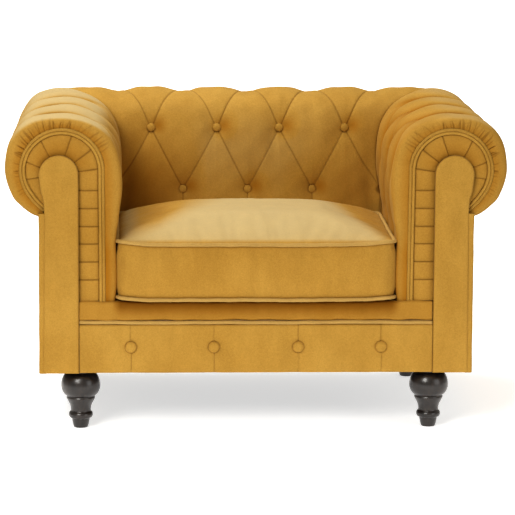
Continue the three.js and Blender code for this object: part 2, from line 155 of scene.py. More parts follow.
# ---- materials -------------------------------------------------------------------------------
class Graph:
    """A material's node tree, with short ways to add and join nodes."""

    def __init__(self, name):
        self.material = bpy.data.materials.new(name)
        self.material.use_nodes = True
        self.tree = self.material.node_tree
        self.shader = self.tree.nodes["Principled BSDF"]
        self.coords = self.tree.nodes.new("ShaderNodeTexCoord").outputs["Object"]

    def node(self, kind, **settings):
        """A new node with its own settings changed."""
        made = self.tree.nodes.new(kind)
        for key, value in settings.items():
            setattr(made, key, value)
        return made

    def link(self, output, socket):
        self.tree.links.new(output, socket)

    def set(self, **values):
        """Constants straight on the shader's sockets."""
        for key, value in values.items():
            self.shader.inputs[key.replace("_", " ")].default_value = value

    def feed(self, socket, output):
        """Joins an output to one of the shader's sockets."""
        self.link(output, self.shader.inputs[socket])

    def stretched(self, scale):
        """Object coordinates stretched along the axes."""
        mapping = self.node("ShaderNodeMapping")
        mapping.inputs["Scale"].default_value = scale
        self.link(self.coords, mapping.inputs["Vector"])
        return mapping.outputs["Vector"]

    def noise(self, scale, detail=3.0, roughness=0.5, vector=None):
        """Smooth noise, on the object's own coordinates unless others are given."""
        made = self.node("ShaderNodeTexNoise")
        made.inputs["Scale"].default_value = scale
        made.inputs["Detail"].default_value = detail
        made.inputs["Roughness"].default_value = roughness
        self.link(vector or self.coords, made.inputs["Vector"])
        return made.outputs["Fac"]

    def ramp(self, factor, stops):
        """Colours along a factor, given as (place, colour) stops."""
        made = self.node("ShaderNodeValToRGB")
        elements = made.color_ramp.elements
        while len(elements) < len(stops):
            elements.new(0.5)
        for element, (at, colour) in zip(elements, stops):
            element.position = at
            element.color = (*colour, 1.0)
        self.link(factor, made.inputs["Fac"])
        return made.outputs["Color"]

    def math(self, operation, a, b):
        """One operation on two numbers or outputs."""
        made = self.node("ShaderNodeMath", operation=operation)
        for socket, value in zip(made.inputs, (a, b)):
            if isinstance(value, (int, float)):
                socket.default_value = value
            else:
                self.link(value, socket)
        return made.outputs["Value"]

    def mix(self, factor, a, b, blend="MIX"):
        """Two colours or outputs blended by a factor."""
        made = self.node("ShaderNodeMix", data_type="RGBA", blend_type=blend)
        for socket, value in zip((made.inputs[0], made.inputs[6], made.inputs[7]), (factor, a, b)):
            if isinstance(value, (int, float)):
                socket.default_value = value
            elif isinstance(value, tuple):
                socket.default_value = (*value, 1.0)
            else:
                self.link(value, socket)
        return made.outputs[2]

    def bump(self, height, strength, distance, normal=None):
        """A surface roughened by a height, over another roughness if one is given."""
        made = self.node("ShaderNodeBump")
        made.inputs["Strength"].default_value = strength
        made.inputs["Distance"].default_value = distance
        self.link(height, made.inputs["Height"])
        if normal is not None:
            self.link(normal, made.inputs["Normal"])
        return made.outputs["Normal"]

    def attribute(self, name):
        """A number that the mesh carries at each point."""
        return self.node("ShaderNodeAttribute", attribute_name=name).outputs["Fac"]

    def clear_where(self, factor):
        """Lets the surface vanish where the factor is 1."""
        output = self.tree.nodes["Material Output"]
        shown = self.node("ShaderNodeMixShader")
        self.link(factor, shown.inputs["Fac"])
        self.link(self.shader.outputs["BSDF"], shown.inputs[1])
        self.link(self.node("ShaderNodeBsdfTransparent").outputs["BSDF"], shown.inputs[2])
        self.link(shown.outputs["Shader"], output.inputs["Surface"])


def velvet():
    """Short-pile ochre velvet: nap patches, fine pile, darker in the seams, painted shade and painted
    highlight laid on from the mesh, soft sheen.
    """
    g = Graph("ochre_velvet")
    patches = g.noise(5.0, 4.0, 0.55)
    nap_and_painted_light = g.ramp(patches, [(0.30, (0.385, 0.214, 0.040)), (0.70, (0.435, 0.252, 0.052))])
    pile = g.noise(950.0, 2.0, 0.6)
    fleck = g.ramp(pile, [(0.30, (0.84, 0.84, 0.84)), (0.70, (1.12, 1.12, 1.12))])
    brushed_and_painted_shade = g.mix(1.0, nap_and_painted_light, fleck, "MULTIPLY")
    strokes = g.noise(26.0, 3.0, 0.5, g.stretched((1.0, 1.0, 0.35)))
    shade = g.ramp(strokes, [(0.35, (0.95, 0.94, 0.92)), (0.65, (1.04, 1.04, 1.05))])
    mottle = g.ramp(g.noise(240.0, 2.0, 0.6), [(0.35, (0.94, 0.94, 0.92)), (0.65, (1.05, 1.05, 1.06))])
    cloth = g.mix(1.0, g.mix(1.0, brushed_and_painted_shade, shade, "MULTIPLY"), mottle, "MULTIPLY")
    # Painted light from the mesh: above 0 a warm dark brown is mixed in as painted shade, below 0 a pale
    # gold as painted highlight.
    painted_light_value = g.attribute("nap_and_painted_light")
    with_painted_shade = g.mix(g.math("MAXIMUM", g.math("MULTIPLY", painted_light_value, 0.8), 0.0), cloth, (0.305, 0.118, 0.003))
    with_painted_highlight = g.mix(g.math("MAXIMUM", g.math("MULTIPLY", painted_light_value, -1.0), 0.0), with_painted_shade, (0.53, 0.46, 0.27))
    crease = g.math("MULTIPLY", g.attribute("crease"), 0.85)
    g.feed("Base Color", g.mix(crease, with_painted_highlight, (0.060, 0.018, 0.001)))
    coarse = g.bump(g.noise(70.0, 2.0), 0.10, 0.0010)
    g.feed("Normal", g.bump(pile, 0.25, 0.0004, coarse))
    g.feed("Roughness", g.ramp(patches, [(0.2, (0.92,) * 3), (0.8, (0.78,) * 3)]))
    g.set(Specular_IOR_Level=0.10, Sheen_Weight=0.09, Sheen_Roughness=0.36)
    g.set(Sheen_Tint=(1.0, 0.78, 0.38, 1.0))
    return g.material


def espresso_wood():
    """Near-black stained and lacquered hardwood with a faint grain up the turning."""
    g = Graph("espresso_wood")
    grain = g.noise(60.0, 5.0, 0.6, g.stretched((1.0, 1.0, 0.12)))
    stain = g.ramp(grain, [(0.35, (0.0085, 0.0060, 0.0052)), (0.75, (0.030, 0.021, 0.017))])
    g.feed("Base Color", stain)
    g.feed("Roughness", g.ramp(g.noise(22.0, 3.0), [(0.3, (0.26,) * 3), (0.8, (0.42,) * 3)]))
    g.feed("Normal", g.bump(grain, 0.12, 0.0006))
    g.set(Coat_Weight=0.35, Coat_Roughness=0.18, Specular_IOR_Level=0.5)
    return g.material


def frame_pine():
    """Sawn pine for the hidden frame."""
    g = Graph("frame_pine")
    rings = g.node("ShaderNodeTexWave", wave_type="BANDS", bands_direction="Y")
    rings.inputs["Scale"].default_value = 22.0
    rings.inputs["Distortion"].default_value = 5.0
    rings.inputs["Detail"].default_value = 3.0
    g.link(g.stretched((0.15, 1.0, 1.0)), rings.inputs["Vector"])
    tone = g.ramp(rings.outputs["Fac"], [(0.2, (0.62, 0.42, 0.22)), (0.8, (0.46, 0.27, 0.12))])
    g.feed("Base Color", tone)
    g.feed("Normal", g.bump(g.noise(240.0, 4.0), 0.3, 0.0008))
    g.set(Roughness=0.78)
    return g.material


def spring_steel():
    """Drawn steel wire with a little dulling."""
    g = Graph("spring_steel")
    dull = g.noise(70.0, 4.0)
    g.feed("Base Color", g.ramp(dull, [(0.3, (0.42, 0.42, 0.43)), (0.8, (0.22, 0.21, 0.20))]))
    g.feed("Roughness", g.ramp(dull, [(0.3, (0.30,) * 3), (0.8, (0.55,) * 3)]))
    g.feed("Normal", g.bump(g.noise(500.0, 2.0), 0.15, 0.0003))
    g.set(Metallic=1.0)
    return g.material


def woven(name, light, dark, threads):
    """A plain cloth: two crossing thread waves over a mottled colour."""
    g = Graph(name)
    weave = []
    for direction in ("X", "Y"):
        wave = g.node("ShaderNodeTexWave", wave_type="BANDS", bands_direction=direction)
        wave.inputs["Scale"].default_value = threads
        wave.inputs["Distortion"].default_value = 0.6
        g.link(g.coords, wave.inputs["Vector"])
        weave.append(wave.outputs["Fac"])
    cross = g.math("MULTIPLY", weave[0], weave[1])
    mottle = g.ramp(g.noise(35.0, 4.0), [(0.3, dark), (0.7, light)])
    g.feed("Base Color", g.mix(g.math("MULTIPLY", cross, 0.35), mottle, dark))
    g.feed("Normal", g.bump(cross, 0.4, 0.0005))
    g.set(Roughness=0.9, Specular_IOR_Level=0.2)
    return g.material


def zip_plastic():
    """Moulded black zip teeth and slider."""
    g = Graph("zip_plastic")
    scuff = g.noise(160.0, 3.0)
    g.feed("Base Color", g.ramp(scuff, [(0.3, (0.018, 0.016, 0.014)), (0.8, (0.050, 0.042, 0.034))]))
    g.feed("Roughness", g.ramp(scuff, [(0.3, (0.38,) * 3), (0.8, (0.6,) * 3)]))
    g.feed("Normal", g.bump(scuff, 0.2, 0.0003))
    return g.material


def studio_floor():
    """Pale paper that glows a little, clear from below and fading out far from the chair."""
    g = Graph("studio_floor")
    tone = g.ramp(g.noise(0.6), [(0.3, (0.93, 0.93, 0.925)), (0.7, (0.96, 0.96, 0.955))])
    g.feed("Base Color", tone)
    g.set(Roughness=0.9, Specular_IOR_Level=0.1)
    g.set(Emission_Color=(1.0, 1.0, 1.0, 1.0), Emission_Strength=0.50)
    backing = g.node("ShaderNodeNewGeometry").outputs["Backfacing"]
    g.clear_where(g.math("MAXIMUM", backing, g.attribute("fade")))
    return g.material


def studio_backdrop():
    """Even white light."""
    g = Graph("studio_backdrop")
    tone = g.ramp(g.noise(0.2), [(0.3, (0.99, 0.99, 0.99)), (0.7, (1.0, 1.0, 1.0))])
    g.feed("Emission Color", tone)
    g.set(Base_Color=(0.0, 0.0, 0.0, 1.0), Specular_IOR_Level=0.0, Emission_Strength=1.6)
    return g.material


# ---- numbers, curves and grids ---------------------------------------------------------------
def unit(values):
    """Values held between 0 and 1."""
    return np.clip(values, 0.0, 1.0)


def bell(distance, width):
    """1 at no distance, falling smoothly to 0 past the width."""
    return np.exp(-(distance / width) ** 2)


def smooth_curve(points, step):
    """Points about one step apart on a smooth curve through the given ones."""
    p = np.asarray(points, float)
    padded = np.vstack([2 * p[0] - p[1], p, 2 * p[-1] - p[-2]])
    t = np.linspace(0.0, 1.0, 24, endpoint=False)[:, None]
    pieces = []
    for a, b, c, d in zip(padded, padded[1:], padded[2:], padded[3:]):
        pieces.append(0.5 * (2 * b + (c - a) * t + (2 * a - 5 * b + 4 * c - d) * t ** 2
                             + (3 * b - a - 3 * c + d) * t ** 3))
    return even(np.vstack(pieces + [p[-1:]]), step=step)


def lengths(points):
    """Distance along a polyline at each of its points."""
    hops = np.linalg.norm(np.diff(points, axis=0), axis=1)
    return np.concatenate([[0.0], np.cumsum(hops)])


def even(points, step=None, count=None):
    """A polyline resampled at even spacing."""
    points = np.asarray(points, float)
    along = lengths(points)
    count = count or max(2, int(round(along[-1] / step)) + 1)
    wanted = np.linspace(0.0, along[-1], count)
    return np.stack([np.interp(wanted, along, points[:, k]) for k in range(points.shape[1])], 1)


def arc(cx, cy, r, start, end, count):
    """Points of an arc, its angles in degrees."""
    angle = np.radians(np.linspace(start, end, count))
    return np.stack([cx + r * np.cos(angle), cy + r * np.sin(angle)], 1)


def outward_normals(grid, row, column, axis):
    """Unit normals that point out of a pad, told by one point whose outside faces down the axis."""
    normal = np.cross(np.gradient(grid, axis=0), np.gradient(grid, axis=1))
    size = np.linalg.norm(normal, axis=2, keepdims=True)
    normal /= np.where(size < 1e-12, 1.0, size)
    return normal if normal[row, column, axis] < 0 else -normal


def quads(rows, cols, wrap_rows=False, wrap_cols=False, flip=False):
    """Faces of a grid of points numbered row by row."""
    i = np.arange(rows if wrap_rows else rows - 1)
    j = np.arange(cols if wrap_cols else cols - 1)
    i, j = np.meshgrid(i, j, indexing="ij")
    a = i * cols + j
    b = i * cols + (j + 1) % cols
    c = ((i + 1) % rows) * cols + (j + 1) % cols
    d = ((i + 1) % rows) * cols + j
    faces = np.stack([a, b, c, d] if flip else [a, d, c, b], -1)
    return faces.reshape(-1, 4)


def set_attribute(mesh, key, values):
    """Lays one number on each point of a mesh, for its material to read."""
    layer = mesh.attributes.new(key, "FLOAT", "POINT")
    layer.data.foreach_set("value", np.asarray(values, np.float32).ravel())


def make_object(name, vertices, faces, material, crease=None, nap_and_painted_light=None):
    """A smooth mesh object. crease is how deep in a seam each point is, with painted shade in places; the
    next value is painted light, painted shade above 0 and painted highlight below.
    """
    mesh = bpy.data.meshes.new(name)
    mesh.from_pydata(np.asarray(vertices).reshape(-1, 3).tolist(), [], [list(f) for f in faces])
    mesh.validate()
    mesh.polygons.foreach_set("use_smooth", np.ones(len(mesh.polygons), bool))
    for key, values in (("crease", crease), ("nap_and_painted_light", nap_and_painted_light)):
        if values is not None:
            set_attribute(mesh, key, values)
    mesh.materials.append(material)
    piece = bpy.data.objects.new(name, mesh)
    bpy.context.scene.collection.objects.link(piece)
    return piece


def grid_object(name, grid, material, crease=None, nap_and_painted_light=None, **wrap):
    """A mesh object from a grid of points, joined round or turned over as quads says."""
    rows, cols = grid.shape[:2]
    return make_object(name, grid, quads(rows, cols, **wrap).tolist(), material, crease, nap_and_painted_light)


def join_parts(name, parts, material):
    """One object from several (vertices, faces, crease) parts, each with one crease value."""
    vertices, faces, creases = [], [], []
    start = 0
    for points, polygons, crease in parts:
        points = np.asarray(points).reshape(-1, 3)
        vertices.append(points)
        faces.extend([[k + start for k in polygon] for polygon in polygons])
        creases.append(np.full(len(points), crease))
        start += len(points)
    return make_object(name, np.vstack(vertices), faces, material, np.concatenate(creases))


def finish_piece(piece, *nodes, body="chair", slot="ochre_velvet", fill=None):
    """Puts a piece on its body, in place of the given nodes. slot and fill are not used."""
    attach(piece, body)
    if nodes:
        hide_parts(*nodes)


def mirrored(grid):
    """The same points on the other side of the chair."""
    return grid * np.array([-1.0, 1.0, 1.0])


def finish_pair(part, grid, cover, crease=None, painted_light_pair=(None, None), fill=None, flip=False, wrap_cols=False):
    """A cover of the right arm and its mirror image on the left, with the painted light of the right one and
    of the left one.
    """
    for side, shape, nap_and_painted_light, turned in zip(("right", "left"), (grid, mirrored(grid)), painted_light_pair, (flip, not flip)):
        name = f"{side}_{part}"
        piece = grid_object(f"{name}_cover", shape, cover, crease, nap_and_painted_light, wrap_cols=wrap_cols, flip=turned)
        finish_piece(piece, name, fill=fill)


# ---- tufting ---------------------------------------------------------------------------------
def segment_distance(u, v, a, b):
    """Distance of each (u, v) from a segment, and the side of it that the point is on."""
    a, b = np.asarray(a), np.asarray(b)
    along = b - a
    t = ((u - a[0]) * along[0] + (v - a[1]) * along[1]) / (along @ along)
    t = unit(t)
    du = u - (a[0] + t * along[0])
    dv = v - (a[1] + t * along[1])
    side = np.sign(along[0] * (v - a[1]) - along[1] * (u - a[0]))
    return np.hypot(du, dv), side


class Tufts:
    """Buttons, diamond seams and roll pleats of a pad: u runs along the pad, v along its section."""

    def __init__(self, section, rows, half_step, meet, valley, puff):
        self.v_of = lengths(section)
        heights = section[:, 1]
        top = int(np.argmax(heights))
        (upper_z, upper), (lower_z, self.lower) = rows.items()
        self.v1, v2 = np.interp([upper_z, lower_z], heights[:top + 1], self.v_of[:top + 1])
        self.end = self.v_of[-1]
        self.meet = self.v1 + meet * (self.v_of[top] - self.v1)
        self.valley, self.puff = valley, puff
        self.buttons = [(u, self.v1) for u in upper] + [(u, v2) for u in self.lower]
        self.seams = []
        for u in upper:
            for w in self.lower:
                if abs(u - w) <= half_step + 0.004:
                    self.seams.append(((u, self.v1), (w, v2)))
                    self.seams.append(((u, self.v1), (w, self.meet)))
        self.seams += [((w, v2), (w, 0.0)) for w in self.lower]
        self.seams += [((w, self.meet), (w, self.end)) for w in self.lower]

    def depth(self, u, v):
        """How far the cover is drawn in at each point, and how much of a crease it is."""
        seam = np.full(u.shape, 1.0)
        fold = np.zeros(u.shape)
        for a, b in self.seams:
            d, side = segment_distance(u, v, a, b)
            near = d < seam
            fold = np.where(near, side * np.exp(-d / 0.010), fold)
            seam = np.where(near, d, seam)
        pit = np.full(u.shape, 1.0)
        for bu, bv in self.buttons:
            pit = np.minimum(pit, np.hypot(u - bu, v - bv))
        depth = 0.0024 * np.exp(-seam / 0.0026) + self.puff * bell(seam, 0.026)
        depth += 0.0185 * np.exp(-(pit / 0.027) ** 1.15)
        depth += self.gutters(u, v)
        depth -= 0.0006 * fold
        depth *= 0.25 + 0.75 * unit((self.end - v) / 0.05)
        crease = 0.50 * bell(seam, 0.0015) + 0.8 * np.exp(-(pit / 0.0112) ** 6)
        return depth, unit(crease)

    def nap_and_painted_light(self, u, v):
        """Painted shade beside each button, on its right and a little above."""
        total = np.zeros(u.shape)
        for bu, bv in self.buttons:
            total += np.exp(-((u - bu - 0.019) / 0.019) ** 2 - ((v - bv - 0.008) / 0.022) ** 2)
        return 0.85 * unit(total)

    def rise(self, v):
        """0 at the upper buttons, 1 where the diamond seams end on the roll."""
        return unit((v - self.v1) / (self.meet - self.v1))

    def gutters(self, u, v):
        """The broad valleys that the roll pleats lie in."""
        ramp = self.rise(v) ** 1.5
        near = np.min([np.abs(u - w) for w in self.lower], axis=0)
        return self.valley * ramp * (0.67 * bell(near, 0.033) + 0.33 * np.exp(-near / 0.007))

    def far_walls(self, u, v):
        """1 on the wall just beyond each roll pleat, where painted shade is laid."""
        near = np.min([np.abs(u - w - 0.015) for w in self.lower], axis=0)
        return self.rise(v) ** 2 * bell(near, 0.011)


def wobble(a, b, scale, seed):
    """Smooth made-up unevenness between about -1 and 1 over two coordinates."""
    local = np.random.default_rng(seed)
    total = np.zeros(np.broadcast(a, b).shape)
    for _ in range(7):
        fa, fb = local.normal(0.0, 1.0 / scale, 2)
        total = total + np.sin(2 * np.pi * (a * fa + b * fb) + local.uniform(0, 2 * np.pi))
    return total / 3.5


# ---- mitre between arm and back --------------------------------------------------------------
ARM_LINE = smooth_curve(ARM_SECTION, 0.0014)
BACK_LINE = smooth_curve(BACK_SECTION, 0.0022)


def roll_angle(x, z):
    """Angle round the arm roll axis, in degrees, from the outside up and over."""
    return np.degrees(np.arctan2(z - ROLL_Z, x - ARM_ROLL_X))


def shaped_roll(section, part):
    """The arm section at part of the way back: a fuller outer shoulder in front, narrower behind."""
    turn = roll_angle(section[:, 0], section[:, 1])
    shoulder = 0.009 * bell(turn - 48.0, 26.0) * (1.0 - part)
    narrow = 0.011 * bell(turn - 15.0, 45.0) * unit((90.0 - turn) / 50.0) * part
    grow = 1.0 + (shoulder - narrow) / ROLL_R
    axis = np.array([ARM_ROLL_X, ROLL_Z])
    return axis + (section - axis) * grow[:, None]


ARM_END = shaped_roll(ARM_LINE, 1.0)


def out_at_same_height(section, other):
    """How far out the other section is at each point's height, on the same side of the roll."""
    top, other_top = int(np.argmax(section[:, 1])), int(np.argmax(other[:, 1]))
    height = other[:, 1] * section[top, 1] / other[other_top, 1]
    out = np.interp(section[:, 1], height[:other_top + 1], other[:other_top + 1, 0])
    out[top + 1:] = np.interp(section[top + 1:, 1], height[other_top:][::-1], other[other_top:, 0][::-1])
    out[2:-2] = sum(np.roll(out, k)[2:-2] for k in (-2, -1, 0, 1, 2)) / 5.0
    return out


def draw_in(grid, outward, depth, gap, side):
    """Pushes a pad in by depth. Near the mitre both pads sink the same way, so that they stay shut."""
    level = bell(gap, 0.014)
    depth = depth * (1.0 - level) + MITRE_DEPTH * np.exp(-gap / 0.020)
    twin = np.stack([side * outward[..., 1], side * outward[..., 0], outward[..., 2]], -1)
    lean = 0.5 * bell(gap, 0.022)[..., None]
    way = outward * (1.0 - lean) + twin * lean
    way /= np.linalg.norm(way, axis=2, keepdims=True)
    return grid - way * depth[..., None]


# ---- back pad --------------------------------------------------------------------------------
def back_pad(cover):
    """Inside back, roll and underside in one cover."""
    tufts = Tufts(BACK_LINE, BACK_ROWS, **BACK_TUFTS)
    reach = out_at_same_height(BACK_LINE, ARM_END)
    x = reach[:, None] * np.linspace(-1.0, 1.0, BACK_COLUMNS)
    y, z, v = (np.repeat(values[:, None], BACK_COLUMNS, 1) for values in (*BACK_LINE.T, tufts.v_of))
    grid = np.stack([x, y, z], -1)
    depth, crease = tufts.depth(x, v)
    gap = reach[:, None] - np.abs(x)
    depth += 0.0012 * wobble(x, v, 0.16, 3) + 0.0025 * unit((v - tufts.v1) / 0.1)
    crease = np.maximum(crease, 0.8 * bell(gap, 0.003))
    outward = outward_normals(grid, 50, BACK_COLUMNS // 2, 1)
    grid = draw_in(grid, outward, depth, gap, np.sign(x))
    # Painted shade beside each button and on both sides of the back below the roll, most on the left where
    # the arm shades it; a little painted highlight lifts the middle.
    brushed_and_painted_shade = unit((-x - 0.10) / 0.15) + 0.3 * unit((x - 0.08) / 0.15)
    nap_and_painted_light = np.maximum(tufts.nap_and_painted_light(x, v), 0.68 * brushed_and_painted_shade * unit((0.69 - z) / 0.16))
    nap_and_painted_light -= 0.10 * bell(z - 0.59, 0.08)
    finish_piece(grid_object("back_pad_cover", grid, cover, crease, nap_and_painted_light), "back_pad", fill=0.9)


# ---- arm pads --------------------------------------------------------------------------------
def mouth_line(offset, foot_z):
    """The line of the arm piping, x and z: up the inside of the arm, over the arch, into the panel."""
    x_low = MOUTH_X - MOUTH_R - offset
    foot = np.array([(x_low - 0.0020, foot_z), (x_low - 0.0012, 0.45), (x_low, ROLL_Z - 0.02)])
    over = arc(MOUTH_X, ROLL_Z, MOUTH_R + offset, 180.0, MOUTH_END, 70)
    way = np.array([math.sin(math.radians(MOUTH_END)), -math.cos(math.radians(MOUTH_END))])
    tip = np.array(MOUTH_TIP) + offset * np.array([0.25, -1.0])
    bend = over[-1] + 0.018 * way
    return even(np.vstack([smooth_curve(foot, 0.01), over, smooth_curve([bend, tip], 0.004)]), step=0.002)


def mouth_of(section):
    """For each point of the arm section, where the cover ends at the outer cord of the arm piping."""
    line = mouth_line(2 * CORD_R, section[0, 1])
    climb = line[:200]
    share = unit(lengths(section) / (lengths(section)[-1] - 0.012))
    low = (section[:, 1] < ARCH_FOOT_Z) & (share < 0.5)
    at = lengths(line)
    level = np.interp(ARCH_FOOT_Z, climb[:, 1], at[:200])
    start = share[low][-1]
    place = level + (share - start) / (1.0 - start) * (at[-1] - level)
    out = np.stack([np.interp(place, at, line[:, k]) for k in (0, 1)], 1)
    out[low, 0] = np.interp(section[low, 1], climb[:, 1], climb[:, 0])
    out[low, 1] = section[low, 1]
    return out


def arm_grid():
    """Points of an arm pad, and how far each is from the piping: 0 there, 1 where the roll begins."""
    section = ARM_LINE
    mouth = mouth_of(section)
    radius = np.interp(section[:, 1], [0.42, 0.58], [0.010, FRONT_ROUND])
    y_round = Y_MOUTH + radius
    y_back = out_at_same_height(ARM_END, BACK_LINE)
    front = shaped_roll(section, 0.0)
    columns, reach = [], []
    for phi in np.linspace(math.pi / 2, 0.0, ROUND_STEPS)[:-1]:
        flat = mouth + (front - mouth) * math.cos(phi) ** 0.7
        y = y_round - radius * math.sin(phi) ** 0.7
        columns.append(np.stack([flat[:, 0], y, flat[:, 1]], 1))
        reach.append(np.full(len(section), 1.0 - phi / (math.pi / 2)))
    straight = np.linspace(Y_MOUTH + FRONT_ROUND + 0.002, Y_TURN, STRAIGHT_STEPS)
    beside = [at + off for at in ARM_PLEATS_Y for off in PLEAT_COLUMNS]
    places = [np.maximum(y, y_round) for y in np.sort(np.concatenate([straight, beside]))]
    places += [Y_TURN + (y_back - Y_TURN) * part for part in np.linspace(0.0, 1.0, TURN_STEPS)[1:]]
    for y in places:
        flat = shaped_roll(section, (y - y_round) / (y_back - y_round))
        columns.append(np.stack([flat[:, 0], y, flat[:, 1]], 1))
        reach.append(1.0 + (y - y_round) / FRONT_ROUND)
    return np.stack(columns, 1), np.stack(reach, 1), y_back


def gathers(turn, reach):
    """Fine puckers where the roll's cover is drawn in under the arm piping."""
    strength = unit((turn + 50.0) / 40.0) * unit((172.0 - turn) / 30.0)
    local = np.random.default_rng(11)
    ripple = np.zeros(turn.shape)
    for at in np.arange(-44.0, 168.0, 3.4):
        at += local.normal(0.0, 1.2)
        width, deep = local.uniform(0.55, 0.85), local.uniform(0.1, 1.0) ** 1.3
        long = 0.4 + 0.6 * np.interp(at, [30.0, 65.0, 140.0, 165.0], [0.0, 1.0, 1.0, 0.3])
        length, lean = long * local.uniform(0.30, 0.72), local.normal(0.0, 5.0)
        ripple += deep * bell(turn - at - lean * reach, width) * np.exp(-(reach / length) ** 4)
    return strength * ripple


def arm_painted_light(x, z, reach, fold, valley, far_wall):
    """Painted light of the arms: the right one darker all over and in its folds and hollows as painted
    shade, the left one with a pale painted highlight on top. Both get painted shade on the inner face,
    beside the piping, low down and in the roll's valleys.
    """
    inner = unit((ARM_ROLL_X - x) / 0.10)
    face = unit((0.75 - reach) / 0.3)
    on_top = unit((z - 0.655) / 0.06) ** 1.5 * (1.0 - face)
    # Painted shade on the front face next to the piping.
    painted_piping_shade = face * (0.12 + 0.60 * bell(reach, 0.22))
    # Painted shade low on the inner arm.
    low = 0.35 * unit((0.47 - z) / 0.05)
    right = (0.10 + 0.30 * inner + 0.9 * (fold[0] + fold[1] * inner)) * (1.0 - face) + 0.8 * painted_piping_shade + low
    # On top: painted shade in the valleys and on their far walls, a pale painted highlight elsewhere.
    right += (0.2 * valley + 0.85 * far_wall - 0.25) * on_top
    left = 0.30 * inner * (1.0 - face) * (1.0 - on_top) + painted_piping_shade + low
    left += (0.25 * valley + 0.7 * far_wall - 0.50) * on_top
    return right, left


def arm_pads(cover):
    """Inside arm, roll and underside in one cover, gathered in front where it meets the piping."""
    grid, reach, y_back = arm_grid()
    x, y, z = np.moveaxis(grid, 2, 0)
    tufts = Tufts(ARM_LINE, ARM_ROWS, **ARM_TUFTS)
    v = np.repeat(tufts.v_of[:, None], grid.shape[1], 1)
    turn = roll_angle(x, z)
    front = unit((y - Y_MOUTH) / 0.05)
    depth, crease = (values * front for values in tufts.depth(y, v))
    depth += 0.0012 * wobble(y, v, 0.16, 5)
    gap = unit(y_back[:, None] - y)
    valley = unit(tufts.gutters(y, v) / 0.011) * front
    far_wall = tufts.far_walls(y, v) * front
    # Painted shade on the far walls of the roll pleats, most near the top of the roll.
    shade = far_wall ** 1.5 * bell(turn - 84.0, 26.0)
    crease = np.max([crease, 0.8 * bell(gap, 0.003), 0.40 * far_wall ** 4, 0.75 * shade], axis=0)
    # Seams, painted shade and deep hollows, which the arms' painted light darkens further.
    fold = 0.5 * np.clip(crease, 0.0, 0.5), unit((depth - 0.004) / 0.012)
    painted_light_pair = arm_painted_light(x, z, reach, fold, valley, far_wall)
    puckers = gathers(turn, reach)
    depth += 0.0024 * puckers
    # The folds of the gathers get painted shade.
    crease = np.maximum(crease, np.clip(0.75 * puckers, 0.0, 0.7))
    grid = draw_in(grid, outward_normals(grid, 90, 60, 0), depth, gap, 1.0)
    finish_pair("arm_pad", grid, cover, crease, painted_light_pair, fill=0.9)


# ---- buttons ---------------------------------------------------------------------------------
BUTTON_PROFILE = [
    (1.00, -0.55), (1.04, -0.15), (1.02, 0.05), (0.95, 0.22), (0.82, 0.36), (0.62, 0.46),
    (0.40, 0.52), (0.20, 0.55), (0.02, 0.56),
]


def button(name, place, facing, radius, cover, *nodes):
    """A cloth-covered button: domed, with small folds where the cover turns round its rim."""
    turn = Vector(facing).normalized().to_track_quat("Z", "Y").to_matrix()
    profile = smooth_curve(BUTTON_PROFILE, 0.09)
    angle = np.linspace(0.0, 2 * np.pi, 36, endpoint=False)
    puckers = 1.0 + 0.018 * np.cos(9 * angle)[None, :] * np.exp(-(profile[:, 1:] - 0.05) ** 2 / 0.05)
    out = profile[:, :1] * puckers
    z = np.repeat(profile[:, 1:], len(angle), 1)
    grid = np.stack([out * np.cos(angle), out * np.sin(angle), z], -1) * radius
    grid = grid @ np.array(turn).T + np.array(place)
    # Painted shade on the button's lower side, where it sits down in its pit.
    crease = unit(1.0 - (z + 0.25) / 0.35)
    finish_piece(grid_object(name, grid, cover, crease, wrap_cols=True, flip=True), *nodes)


def back_buttons(cover):
    """The whole buttons of the back, and the pair half hidden where the back meets the arms."""
    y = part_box("back_button_1")[1][1] - 0.003
    places = [(x, z) for z, xs in BACK_ROWS.items() for x in xs if abs(x) < CORNER_BUTTON_X]
    for number, (x, z) in enumerate(places, 1):
        button(f"back_button_cover_{number}", (x, y, z), (0, -1, 0), BUTTON_R, cover,
               f"back_button_{number}")
    for side, sign in (("right", 1), ("left", -1)):
        place = (sign * CORNER_BUTTON_X, y, min(BACK_ROWS))
        button(f"back_corner_button_{side}", place, (-0.35 * sign, -1, 0), BUTTON_R, cover)


def arm_buttons(cover):
    """Buttons of the inside arms, which are only in the looks."""
    rise = ARM_LINE[:int(np.argmax(ARM_LINE[:, 1])) + 1]
    for number, (y, z) in enumerate([(y, z) for z, ys in ARM_ROWS.items() for y in ys], 1):
        x = float(np.interp(z, rise[:, 1], rise[:, 0])) + 0.022
        for side, sign in (("right", 1), ("left", -1)):
            button(f"{side}_arm_button_{number}", (sign * x, y, z), (-sign, 0, 0), BUTTON_R, cover)


def rail_buttons(cover):
    """The four buttons of the pad below the front border."""
    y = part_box("rail_button_1")[1][1] + 0.002
    for number, x in enumerate(RAIL_BUTTONS_X, 1):
        button(f"rail_button_cover_{number}", (x, y, RAIL_BUTTON_Z), (0, -1, 0), RAIL_BUTTON_R, cover,
               f"rail_button_{number}")


